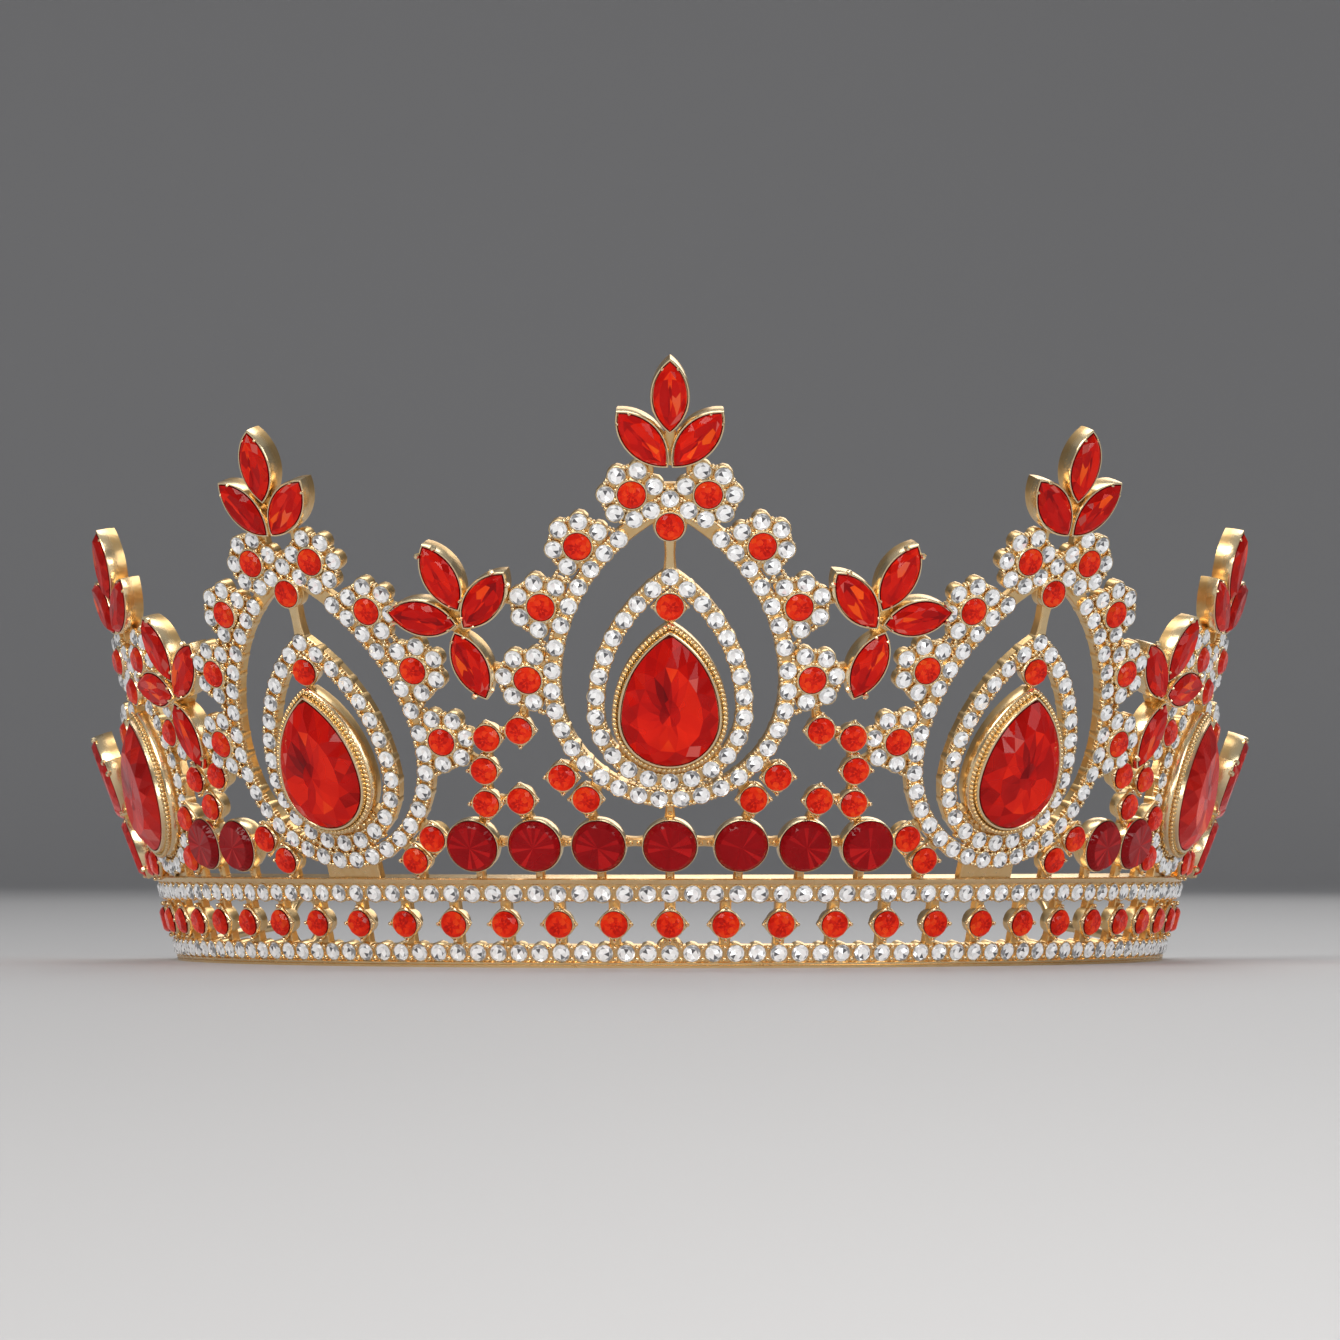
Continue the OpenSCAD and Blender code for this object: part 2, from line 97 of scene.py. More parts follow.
cluster = [(0.0, 0.0), (5.07, 4.4), (-5.07, 4.4)]
trio = dict(top=(0.0, 18.25, 0.0), right=(3.65, 12.3, -41.0), left=(-3.65, 12.3, 41.0))
rounds = [(-57.5, 17.7, mid_lean), (-51.3, 17.4, mid_lean)]
rounds += [(phi, 17.6, front_lean) for phi in (-20.3, -13.7, -7.15, 0.0, 7.15, 13.7, 20.3)]
rounds += [(51.3, 17.4, mid_lean), (57.5, 17.7, mid_lean)]
petal_flowers = [(18.95, 49.5, front_lean), (56.2, 39.5, mid_lean), (86.0, 23.5, 21.0)]
petals = [(1.4, 6.35, 66.5), (-4.15, 3.1, 130.0), (4.8, 0.7, 11.0), (-1.35, -6.05, 250.0)]
chain = [(14.3, 33.9, front_lean), (17.55, 32.85, front_lean), (18.2, 28.2, front_lean),
         (18.4, 23.45, front_lean), (14.8, 23.9, front_lean), (52.65, 27.4, mid_lean),
         (56.9, 26.9, mid_lean), (55.1, 22.9, mid_lean), (61.2, 21.2, mid_lean),
         (62.3, 15.5, mid_lean), (80.1, 19.5, far_lean), (77.0, 14.7, far_lean),
         (81.2, 14.6, far_lean), (89.5, 15.0, far_lean)]
print("peaks", len(peaks), "large rounds", len(rounds), "chain settings", 2 * len(chain))

# %% [markdown]
# From a flat drawing to the crown's surface.
# The band is a cone, and the peaks are flat drawings wrapped round steeper cones that stand on it.
# One function places any point on such a cone, and a second gives a whole frame there: where it is,
# which way is out and which is up.

# %% Carry points onto a cone
def cone_points(foot_r, foot_z, phi, s, lean, w):
    """Points on a cone: angle round the head, distance up the slope, lean, depth outwards."""
    a, t = np.radians(phi), math.radians(lean)
    r = foot_r + s * math.sin(t) + w * math.cos(t)
    z = foot_z + s * math.cos(t) - w * math.sin(t)
    return np.stack([r * np.sin(a), -r * np.cos(a), z + 0 * r], -1)


def slope_points(phi, y, lean, w):
    """Points above the rail, at a height up the slope from the crown's rim."""
    return cone_points(rail_top_r, rail_top_z, phi, y - rail_top_y, lean, w)


def on_sheet(peak, x, y):
    """Angle and height up the slope of a point of a peak's flat drawing."""
    t = math.radians(peak["lean"])
    r = rail_top_r + (y - rail_top_y) * math.sin(t)
    return peak["phi"] + np.degrees(np.arcsin(x / r)), y + (r - np.sqrt(r * r - x * x)) * math.sin(t)


def carry(peak, points):
    """Flat x, y, w points of a peak's drawing, as points in space."""
    phi, y = on_sheet(peak, points[:, 0], points[:, 1])
    return slope_points(phi, y, peak["lean"], points[:, 2])


print("the rail's top in front is at", slope_points(0.0, rail_top_y, front_lean, 0.0).round(1))


# %% Find places and their directions
def directions(phi, lean):
    """Out of the surface and up the slope, at an angle round the head."""
    a, t = math.radians(phi), math.radians(lean)
    out = np.array([math.sin(a) * math.cos(t), -math.cos(a) * math.cos(t), -math.sin(t)])
    up = np.array([math.sin(a) * math.sin(t), -math.cos(a) * math.sin(t), math.cos(t)])
    return out, up


def place(phi, y, lean, turn=0.0):
    """A place above the rail, its up direction turned anticlockwise as seen from outside."""
    out, up = directions(phi, lean)
    right = np.cross(up, out)
    a = math.radians(turn)
    at = slope_points(np.array(phi), y, lean, 0.0)
    return dict(at=at, out=out, up=up * math.cos(a) - right * math.sin(a))


def band_place(phi, y, w=0.0):
    """A place on the band."""
    out, up = directions(phi, band_lean)
    return dict(at=cone_points(rim_r, 0.0, np.array(phi), y, band_lean, w), out=out, up=up)


def sheet_spot(peak, x, y):
    """Angle, height and lean of a point of a peak's flat drawing."""
    phi, height = on_sheet(peak, np.array(float(x)), np.array(float(y)))
    return float(phi), float(height), peak["lean"]


def sheet_place(peak, x, y, turn=0.0):
    return place(*sheet_spot(peak, x, y), turn)


def mirrored(q, side):
    return (side * q[0], *q[1:])


print("centre peak's tip at", sheet_place(peaks["centre"], 0, 85)["at"].round(1))

# %% [markdown]
# Closed shells.
# Most parts are a stack of rings: a turned cup, a bezel, a strip round a pear. A heap gathers such
# shells, so that a whole peak can be one mesh. Faces are wound to point outwards.

# %% Join rings into shells
def stack(rings, closed=False):
    """Faces between rings of equal count, capped at both ends or joined last to first."""
    n = len(rings[0])
    faces = []
    for k in range(len(rings) if closed else len(rings) - 1):
        a, b = k * n, (k + 1) % len(rings) * n
        faces += [[a + i, a + (i + 1) % n, b + (i + 1) % n, b + i] for i in range(n)]
    if not closed:
        last = (len(rings) - 1) * n
        faces += [list(range(n))[::-1], [last + i for i in range(n)]]
    return np.concatenate(rings), faces


def circle(r, w, n):
    """n points round a middle, at one radius or at a radius for each."""
    a = np.arange(n) * 2 * math.pi / n
    return np.stack([r * np.cos(a), r * np.sin(a), 0 * a + w], 1)


def turned(profile, n):
    """A turned shell from radius and depth pairs, from its back to its hollow."""
    return stack([circle(r, w, n) for r, w in profile])


print("a turned cup has", len(turned([(1, 0), (1, 1), (0.5, 1)], 8)[1]), "faces")


# %% Gather shells into meshes
def turned_with(spot, points, at=0.0):
    """Local x, y, w directions or points, turned as a place is."""
    right = np.cross(spot["up"], spot["out"])
    return at + points[:, :1] * right + points[:, 1:2] * spot["up"] + points[:, 2:] * spot["out"]


def in_space(points, spot):
    """Local x, y, w points at a place."""
    return turned_with(spot, points, spot["at"])


def store_height(mesh, depths):
    """Keeps each point's height above the casting's back, from 0.4 low down to 1 on the proud parts."""
    # The gold's painted shade follows this height: its colour darkens towards the casting's back.
    rise = np.clip((np.asarray(depths) - back_w) / 2.4, 0.4, 1).astype(np.float32)
    mesh.attributes.new("height", "FLOAT", "POINT").data.foreach_set("value", rise)


class Heap:
    """Closed shells gathered into one mesh."""

    def __init__(self):
        self.points, self.faces, self.depths, self.count = [], [], [], 0

    def add(self, points, faces, depths=None):
        """Adds a shell; depths are its points' own depths where it has been carried to a place."""
        points = np.asarray(points, float)
        self.points.append(points)
        self.depths.append(points[:, 2] if depths is None else depths)
        self.faces += [[i + self.count for i in face] for face in faces]
        self.count += len(points)

    def put(self, shell, spot, rise=0.0):
        """Adds a shell of local points at a place, with a rise where its own drawing starts deeper."""
        points, faces = shell
        self.add(in_space(points, spot), faces, points[:, 2] + rise)

    def mesh(self, name, crease=None, finish=None):
        """A mesh in metres: flat faces, or smooth ones with edges sharper than the crease kept."""
        mesh = bpy.data.meshes.new(name)
        mesh.from_pydata((np.concatenate(self.points) * MM).tolist(), [], self.faces)
        store_height(mesh, np.concatenate(self.depths))
        if crease is not None:
            mesh.shade_smooth()
            mesh.set_sharp_from_angle(angle=math.radians(crease))
        if finish is not None:
            mesh.materials.append(finish)
        return mesh


def new_object(name, mesh):
    thing = bpy.data.objects.new(name, mesh)
    bpy.context.scene.collection.objects.link(thing)
    return thing


trial = Heap()
trial.put(turned([(1, 0), (1, 1)], 6), place(0, 30, front_lean))
print("a heap with one shell has", trial.count, "points")

# %% [markdown]
# Outlines.
# A pear is a half circle below and two wide arcs that meet in a tip. A leaf is two arcs that meet
# in two tips. Both can grow or shrink by an even amount, as a setting does round its stone.

# %% Draw pears and leaves
def pear_outline(a, rho, grow, n, x=0.0, y=0.0):
    """A pear's outline of n points, anticlockwise from the right of its foot."""
    foot, flank = a + grow, rho + grow
    tip = math.acos((rho - a) / flank)
    lengths = np.array([flank * tip, flank * tip, math.pi * foot])
    ends = np.cumsum(lengths)
    points = []
    for d in np.arange(n) / n * ends[2]:
        if d < ends[0]:
            b = d / flank
            points.append((a - rho + flank * math.cos(b), flank * math.sin(b)))
        elif d < ends[1]:
            b = tip - (d - ends[0]) / flank
            points.append((rho - a - flank * math.cos(b), flank * math.sin(b)))
        else:
            b = math.pi + (d - ends[1]) / foot
            points.append((foot * math.cos(b), foot * math.sin(b)))
    return np.array(points) + (x, y)


def leaf_outline(length, width, grow, n):
    """A leaf's outline of n points, anticlockwise from its lower tip."""
    r = (length * length + width * width) / 4 / width
    bow = r - width / 2
    half = math.acos(bow / (r + grow))
    a = np.linspace(-half, half, n // 2, endpoint=False)
    right = np.stack([(r + grow) * np.cos(a) - bow, (r + grow) * np.sin(a)], 1)
    return np.concatenate([right, -right])


def level(outline, w):
    """An outline at a depth."""
    return np.column_stack([outline, np.full(len(outline), w)])


def outline_length(outline):
    return np.linalg.norm(np.roll(outline, -1, 0) - outline, axis=1).sum()


print("a large pear stone is", round(outline_length(pear_outline(pear_a, pear_rho, 0, 90)), 1), "mm round")

# %% [markdown]
# Node recipes.
# A material and a Geometry Nodes tree are both nodes with links between them. Written link by link
# they are long and hard to follow. A recipe adds a node, sets it up and feeds its inputs in one call.
# An input is fed a plain value, or what another node gives.

# %% Write node recipes
class Recipe:
    """The nodes of one tree, each added and fed in one call."""

    def __init__(self, tree):
        self.nodes, self.links = tree.nodes, tree.links

    def feed(self, node, inputs):
        """Feeds a node's inputs, by name or number, with values or other nodes' outputs."""
        for key, value in inputs.items():
            socket = next(s for k, s in enumerate(node.inputs) if s.enabled and key in (k, s.name))
            if isinstance(value, bpy.types.NodeSocket):
                self.links.new(value, socket)
            else:
                socket.default_value = value

    def add(self, kind, inputs=None, output=None, **settings):
        """Adds a node with its settings and inputs, and gives its first output or a named one."""
        node = self.nodes.new(kind)
        for key, value in settings.items():
            setattr(node, key, value)
        self.feed(node, inputs or {})
        return next(s for s in node.outputs if s.enabled and output in (None, s.name))


def ramp(recipe, value, stops):
    """The colour for a value, from position and colour pairs."""
    node = recipe.nodes.new("ShaderNodeValToRGB")
    marks = node.color_ramp.elements
    marks[0].position, marks[0].color = stops[0][0], (*stops[0][1], 1)
    marks[1].position, marks[1].color = stops[-1][0], (*stops[-1][1], 1)
    for position, colour in stops[1:-1]:
        marks.new(position).color = (*colour, 1)
    recipe.feed(node, {"Fac": value})
    return node.outputs["Color"]


def noise(recipe, scale, detail):
    """Noise on Object coordinates."""
    where = recipe.add("ShaderNodeTexCoord", output="Object")
    return recipe.add("ShaderNodeTexNoise", {"Vector": where, "Scale": scale, "Detail": detail})


def attribute(recipe, name, output="Fac"):
    return recipe.add("ShaderNodeAttribute", output=output, attribute_name=name)


def scaled_sum(recipe, value, factor, base):
    """A value times a factor, plus a base."""
    return recipe.add("ShaderNodeMath", {0: value, 1: factor, 2: base}, operation="MULTIPLY_ADD")


def spread(recipe, value, low, high):
    """A value from 0 to 1 spread over a range."""
    return recipe.add("ShaderNodeMapRange", {"Value": value, "To Min": low, "To Max": high})


def new_material(name):
    """A material, the recipe of its nodes and its one Principled shader."""
    material = bpy.data.materials.new(name)
    material.use_nodes = True
    recipe = Recipe(material.node_tree)
    return material, recipe, recipe.nodes["Principled BSDF"]


print("a recipe can", [word for word in dir(Recipe) if word[0] != "_"])

# %% [markdown]
# Pale gold.
# The metal is a cast alloy with a thin, pale champagne-gold plating. Its colour carries painted shade:
# it is painted darker and browner deep between the stones, where shade falls, and paler on the proud
# parts, which are also smoother where fingers and the polishing wheel reach. Each vertex therefore
# carries its height above the back of the casting, and the colour and roughness follow that height,
# with a fine, irregular grain over all of it.

# %% Mix the gold
def mixed_gold(name, deep, middle, bright, rough):
    """Gold painted darker low down, as shade between the parts, and duller there, from three colours and a
    roughness range.
    """
    material, recipe, gold = new_material(name)
    # The height gives painted shade, darker towards the casting's back, plus a little noise; both set colour
    # and roughness.
    recess_shade_and_noise = scaled_sum(recipe, noise(recipe, 900.0, 1.0), 0.3, attribute(recipe, "height"))
    grain = recipe.add("ShaderNodeBump", {"Strength": 0.12, "Distance": 0.00008,
                                          "Height": noise(recipe, 2600.0, 0.0)})
    colour = ramp(recipe, recess_shade_and_noise, [(0.12, deep), (0.55, middle), (1.0, bright)])
    recipe.feed(gold, {"Metallic": 1.0, "Base Color": colour, "Normal": grain,
                       "Roughness": spread(recipe, recess_shade_and_noise, *rough)})
    return material


# Each gold runs from its deep colour, the painted shade between the parts, to the pale metal of the proud
# parts.
cast_gold = mixed_gold("cast_gold", (0.42, 0.2, 0.045), (0.88, 0.58, 0.25), (1.0, 0.8, 0.49), (0.4, 0.22))
wire_gold = mixed_gold("wire_gold", (0.8, 0.56, 0.28), (0.86, 0.63, 0.34), (0.98, 0.8, 0.52), (0.3, 0.24))
print("gold materials", cast_gold.name, wire_gold.name)

# %% [markdown]
# Foil-backed glass.
# Each stone is cut glass over a mirror foil, so its colour comes back from small mirrors that face
# many ways, seen through a clear top. Glass that is really traced would need far more samples than
# a small stone has pixels. So each facet is a coloured mirror whose own direction, the foil's, is
# tilted away from the glass, under a clear coat that keeps the true facet. A painted reflection on
# each facet, the light its foil would send back painted into the colour, and a spark for each stone
# set how light or deep it is. Each stone also glows faintly in its own colour, which is painted light.

# %% Mix the glass
def foiled_glass(name, stops, coat, rough, metal, glow):
    """Coloured glass over foil, from a ramp of deep to bright colours picked by each facet's painted
    reflection; the stone also glows in that colour as painted light.
    """
    material, recipe, glass = new_material(name)
    cloud = noise(recipe, 420.0, 0.0)
    # Each facet's painted reflection, lifted by the stone's spark and a little noise, picks the colour.
    painted_light_and_spark = scaled_sum(recipe, attribute(recipe, "spark"), 0.1, attribute(recipe, "tone"))
    colour = ramp(recipe, scaled_sum(recipe, cloud, 0.12, painted_light_and_spark), stops)
    turn = recipe.add("ShaderNodeVectorTransform", {"Vector": attribute(recipe, "foil", "Vector")},
                      vector_type="NORMAL", convert_from="OBJECT", convert_to="WORLD")
    # The emission makes the stone glow faintly in its own colour: painted light.
    recipe.feed(glass, {"Metallic": metal, "Specular IOR Level": 0.25, "Coat Weight": coat,
                        "Coat Roughness": 0.04, "Coat IOR": 1.56, "Emission Strength": glow,
                        "Base Color": colour, "Emission Color": colour, "Normal": turn,
                        "Roughness": spread(recipe, cloud, *rough)})
    return material


# Each ramp runs through the stone's own colour from its darkest to its brightest painted reflection; the
# pale last stop of the large reds is a painted glint.
red_stops = [(0.08, (0.1, 0.0, 0.002)), (0.33, (0.27, 0.001, 0.002)), (0.6, (0.62, 0.006, 0.003)),
             (0.8, (0.9, 0.02, 0.004)), (0.92, (1.0, 0.11, 0.008)), (1.0, (0.74, 0.11, 0.09))]
bright_stops = [(0.08, (0.16, 0.001, 0.001)), (0.35, (0.42, 0.004, 0.002)), (0.62, (0.8, 0.016, 0.004)),
                (0.82, (0.95, 0.035, 0.006)), (1.0, (1.0, 0.1, 0.012))]
ruby_stops = [(0.08, (0.08, 0.0, 0.001)), (0.4, (0.24, 0.001, 0.003)), (0.65, (0.42, 0.003, 0.006)),
              (0.86, (0.62, 0.012, 0.012)), (1.0, (0.8, 0.04, 0.03))]
clear_stops = [(0.08, (0.02, 0.02, 0.025)), (0.3, (0.16, 0.16, 0.17)), (0.55, (0.5, 0.5, 0.5)),
               (0.8, (0.88, 0.88, 0.87)), (1.0, (1.0, 1.0, 1.0))]
large_red = foiled_glass("large_red_glass", red_stops, 0.25, (0.18, 0.32), 0.8, 0.25)
small_red = foiled_glass("small_red_glass", bright_stops, 0.25, (0.18, 0.32), 0.8, 0.25)
ruby = foiled_glass("ruby_glass", ruby_stops, 0.25, (0.2, 0.35), 0.75, 0.2)
clear = foiled_glass("clear_glass", clear_stops, 0.8, (0.15, 0.3), 0.5, 0.3)
print("glass materials", [m.name for m in (large_red, small_red, ruby, clear)])

# %% [markdown]
# Cut stones.
# A stone is drawn as rings of its outline, from the girdle up through the crown facets to the flat
# table. The table is split further, with its pieces level, because the facets of the foil below
# show through it. Every face gets a painted reflection, light or dark, and a foil direction from
# seeded random numbers, so that each cut glitters in its own fixed way.

# %% Lay out the facets
def brilliant_faces(m, table_rings):
    """Faces of a brilliant cut of 2 m girdle points, and the zone of each from girdle to middle."""
    n = 2 * m
    faces, zones = [list(range(n))[::-1]], [0]

    def add(face, zone):
        faces.append(face)
        zones.append(zone)

    for i in range(n):
        add([i, (i + 1) % n, n + (i + 1) % n, n + i], 0)
    outer = [n + i for i in range(n)]
    base = 2 * n
    for level_number in range(1 + table_rings):
        odd = [base + j for j in range(m)]
        even = [base + m + j for j in range(m)]
        for j in range(m):
            here, there = outer[2 * j % len(outer)], outer[(2 * j + 2) % len(outer)]
            if level_number == 0:
                add([here, outer[2 * j + 1], odd[j]], 1)
                add([outer[2 * j + 1], there, odd[j]], 1)
            else:
                here, there = outer[j], outer[(j + 1) % m]
                add([here, there, odd[j]], 3 * level_number + 1)
            add([here, odd[j], even[j], odd[j - 1]], 3 * level_number + 2)
            add([odd[j], even[(j + 1) % m], even[j]], 3 * level_number + 3)
        outer, base = even, base + n
    for j in range(m):
        add([outer[j], outer[(j + 1) % m], base], 10)
    return faces, zones


print("a brilliant of 14 girdle points has", len(brilliant_faces(7, 0)[0]), "facets")


# %% Cut a stone
def cut_stone(outline, heights, shares, seed, tilt, shade, sectors=None):
    """Points, faces, tones and foil directions of a brilliant-cut stone.

    outline has 2 m points, and shares say how far each ring shrinks towards the outline's middle,
    the same both ways or as a pair across and along: two for the crown and two for each split of the
    table. heights are the depths of the girdle's foot and top and of the table. shade gives the
    painted reflection of a facet, its brightness in place of the light the foil sends back, from its
    zone, its place and a chance. With sectors, the facets of the table that share a ring and a sector
    reflect as one, which gives the few large facets of a big stone.
    """
    draw = np.random.default_rng(seed)
    foot, girdle, table = heights
    m = len(outline) // 2
    middle = np.array([0.0, outline[:, 1].mean() * 0.6])
    rings = [level(middle + (outline - middle) * 0.97, foot), level(outline, girdle)]
    for k, share in enumerate(shares):
        ring = middle + (outline - middle) * np.array(share)
        rise = 0.62 if k == 0 else 1.0
        rings.append(level(ring[1::2] if k % 2 == 0 else ring[::2], girdle + (table - girdle) * rise))
    points = np.concatenate([*rings, [[*middle, table]]])
    faces, zones = brilliant_faces(m, (len(shares) - 2) // 2)
    reach = np.abs(outline).max(0)
    painted_facet_lights, foils, shared = [], [], {}
    for face, zone in zip(faces, zones):
        centre = points[face].mean(0)[:2] - middle
        away = centre / (np.linalg.norm(centre) + 1e-6)
        sector = int((math.atan2(*centre / reach) / (2 * math.pi) + 0.5) * (sectors or 1) - 1e-6)
        group = (zone > 6, sector) if sectors and zone > 3 else (len(painted_facet_lights),)
        if group not in shared:
            lean, side = draw.uniform(-tilt, tilt, 2)
            foil = np.array([away[0] * lean - away[1] * side, away[1] * lean + away[0] * side, 1.0])
            shared[group] = (draw.random(), foil / np.linalg.norm(foil))
        chance, foil = shared[group]
        foils.append(foil)
        # Each facet's painted reflection; the girdle's faces are kept dark.
        painted_facet_lights.append(np.clip(shade(zone, *(centre / reach), chance), 0, 1) if zone else 0.05)
    return points, faces, np.array(painted_facet_lights), np.array(foils)


sample_cut = cut_stone(pear_outline(pear_a, pear_rho, 0, 32), (0.1, 2.15, 3.85), (0.84, 0.68, 0.44, 0.22),
                       0, 0.2, lambda *facet: 0.5)
print("a large pear stone has", len(sample_cut[1]), "faces")


# %% Mesh and place cut stones
def stone_mesh(name, stones, sparks):
    """One mesh of several stones, each given as points, faces, tones and foil directions."""
    heap = Heap()
    for points, faces, _, _ in stones:
        heap.add(points, faces)
    mesh = heap.mesh(name)
    # Each face keeps its painted reflection, its foil direction and its stone's spark.
    layers = dict(tone=("FLOAT", "value", np.concatenate([s[2] for s in stones])),
                  foil=("FLOAT_VECTOR", "vector", np.concatenate([s[3] for s in stones]).ravel()),
                  spark=("FLOAT", "value", np.concatenate(
                      [np.full(len(s[1]), spark) for s, spark in zip(stones, sparks)])))
    for key, (kind, field, values) in layers.items():
        mesh.attributes.new(key, kind, "FACE").data.foreach_set(field, values.astype(np.float32))
    return mesh


def set_stone(stone, spot):
    """A stone of local points carried to a place, its foil directions turned with it."""
    points, faces, painted_facet_lights, foils = stone
    return in_space(points, spot), faces, painted_facet_lights, turned_with(spot, foils)


def round_outline(r, n):
    return circle(r, 0, n)[:, :2]


print("a small round outline is", round(outline_length(round_outline(small_r, 20)), 1), "mm round")


# %% Shade the facets
def pick(values, chance):
    return values[int(chance * len(values) * 0.999)]


def clear_shade(zone, x, y, chance):
    """Painted reflections: white, grey and dark wedges, the crown's less dark than the table's."""
    return pick([0.35, 0.6, 0.85, 0.95] if zone < 4 else [0.03, 0.2, 0.5, 0.8, 0.95, 1.0], chance)


def small_shade(zone, x, y, chance):
    """Painted reflections: bright and dark wedges round a darker middle, brightest at the foot."""
    if zone < 4:
        return 0.5 - 0.12 * y + 0.3 * chance
    return 0.36 + 0.32 * chance if zone == 10 else pick([0.42, 0.55, 0.68, 0.78], chance) - 0.1 * y


def pear_shade(zone, x, y, chance):
    """Painted reflections: a bright patch near the tip, a dark one under it, and a bright low middle in an
    even red.
    """
    if zone < 4:
        return 1.0 if chance > 0.975 else 0.38 + 0.2 * chance
    # bright marks the painted highlights and dark the painted dark reflection.
    bright = math.exp(-((x / 0.25) ** 2 + ((y - 0.62) / 0.22) ** 2))
    bright += math.exp(-(((x - 0.12) / 0.3) ** 2 + ((y + 0.5) / 0.24) ** 2))
    dark = math.exp(-(((x + 0.12) / 0.26) ** 2 + ((y - 0.22) / 0.26) ** 2))
    return min(0.74, 0.42 + 0.3 * bright - 0.36 * dark + 0.26 * chance)


def leaf_shade(zone, x, y, chance):
    """Painted reflections in even reds: one or two bright facets, a darker middle line, and a pale glint
    near a tip.
    """
    if zone < 4:
        return 1.0 if abs(y) > 0.55 and chance > 0.9 else 0.4 + 0.24 * chance
    tip = -0.08 if abs(y) > 0.6 else 0.0
    return 0.5 - 0.12 * math.exp(-(x / 0.12) ** 2) + tip + pick([-0.12, -0.04, 0.02, 0.1, 0.3], chance)


def ruby_shade(zone, x, y, chance):
    """Painted reflections, even and deep, with fine bright spokes towards the foot."""
    spoke = 0.22 if zone == 10 and chance > 0.78 else 0.0
    return 0.4 + spoke * (0.9 - 0.5 * y) + 0.12 * (chance % 0.5)


clear_cut = cut_stone(round_outline(clear_r, 14), (-0.1, 0.12, 0.5), (0.84, 0.68), 4, 0.4, clear_shade)
print("a clear stone has", len(clear_cut[1]), "facets")

# %% [markdown]
# Repeats by Geometry Nodes.
# Hundreds of stones, collars, beads and small settings sit on known places. Each set is a cloud of
# points that know their out and up directions. One tree puts a pattern piece on every point, turns
# it to fit, gives it a spin and a spark of its own from a fixed seed, and turns the foil directions
# with it. The instances are realised, so that the result is a plain mesh.

# %% Build the tree that sets a pattern on places
def new_tree(name, inputs):
    """A tree from and to a mesh with named inputs, the recipe of its nodes, and what it is given."""
    tree = bpy.data.node_groups.new(name, "GeometryNodeTree")
    for label, kind in [("Geometry", "Geometry"), *inputs]:
        tree.interface.new_socket(label, in_out="INPUT", socket_type="NodeSocket" + kind)
    tree.interface.new_socket("Geometry", in_out="OUTPUT", socket_type="NodeSocketGeometry")
    recipe = Recipe(tree)
    return tree, recipe, recipe.nodes.new("NodeGroupInput").outputs


def end_tree(recipe, geometry, finish):
    """Gives the geometry its finish and hands it out."""
    done = recipe.add("GeometryNodeSetMaterial", {"Geometry": geometry, "Material": finish})
    recipe.feed(recipe.nodes.new("NodeGroupOutput"), {"Geometry": done})


def setting_tree():
    inputs = [("Pattern", "Object"), ("Spin", "Float"), ("Size", "Float"), ("Seed", "Int"),
              ("Finish", "Material")]
    tree, recipe, given = new_tree("set_on_places", inputs)

    def named(label, kind="FLOAT_VECTOR"):
        return recipe.add("GeometryNodeInputNamedAttribute", {"Name": label}, data_type=kind)

    def store(geometry, label, value, kind, domain="INSTANCE"):
        return recipe.add("GeometryNodeStoreNamedAttribute",
                          {"Geometry": geometry, "Name": label, "Value": value},
                          data_type=kind, domain=domain)

    pattern = recipe.add("GeometryNodeObjectInfo", {"Object": given["Pattern"]}, "Geometry")
    upright = recipe.add("FunctionNodeAxesToRotation", {0: named("out"), 1: named("up")},
                         primary_axis="Z", secondary_axis="Y")
    least = recipe.add("ShaderNodeMath", {0: given["Spin"], 1: -1.0}, operation="MULTIPLY")
    chance = recipe.add("FunctionNodeRandomValue",
                        {"Min": least, "Max": given["Spin"], "Seed": given["Seed"]}, data_type="FLOAT")
    spin = recipe.add("FunctionNodeAxisAngleToRotation", {"Axis": (0, 0, 1), "Angle": chance})
    spun = recipe.add("FunctionNodeRotateRotation", {0: upright, 1: spin}, rotation_space="LOCAL")
    flow = recipe.add("GeometryNodeInstanceOnPoints", {"Points": given["Geometry"], "Instance": pattern,
                                                       "Rotation": spun, "Scale": given["Size"]})
    flow = store(flow, "turn", recipe.add("GeometryNodeInputInstanceRotation"), "QUATERNION")
    spark = recipe.add("FunctionNodeRandomValue", {"Seed": given["Seed"]}, data_type="FLOAT")
    flow = recipe.add("GeometryNodeRealizeInstances", {"Geometry": store(flow, "spark", spark, "FLOAT")})
    foil = recipe.add("FunctionNodeRotateVector",
                      {"Vector": named("foil"), "Rotation": named("turn", "QUATERNION")})
    end_tree(recipe, store(flow, "foil", foil, "FLOAT_VECTOR", "FACE"), given["Finish"])
    return tree


place_tree = setting_tree()
print("the tree has", len(place_tree.nodes), "nodes")


# %% Set a pattern on places
def plain_result(mesh, tree, values):
    """The plain mesh that a tree with these inputs makes of a mesh."""
    holder = new_object(mesh.name, mesh)
    modifier = holder.modifiers.new("nodes", "NODES")
    modifier.node_group = tree
    for item in tree.interface.items_tree:
        if item.in_out == "INPUT" and item.name in values:
            modifier[item.identifier] = values[item.name]
    ready = bpy.context.evaluated_depsgraph_get()
    result = bpy.data.meshes.new_from_object(holder.evaluated_get(ready))
    holder.modifiers.remove(modifier)
    bpy.data.objects.remove(holder)
    return result


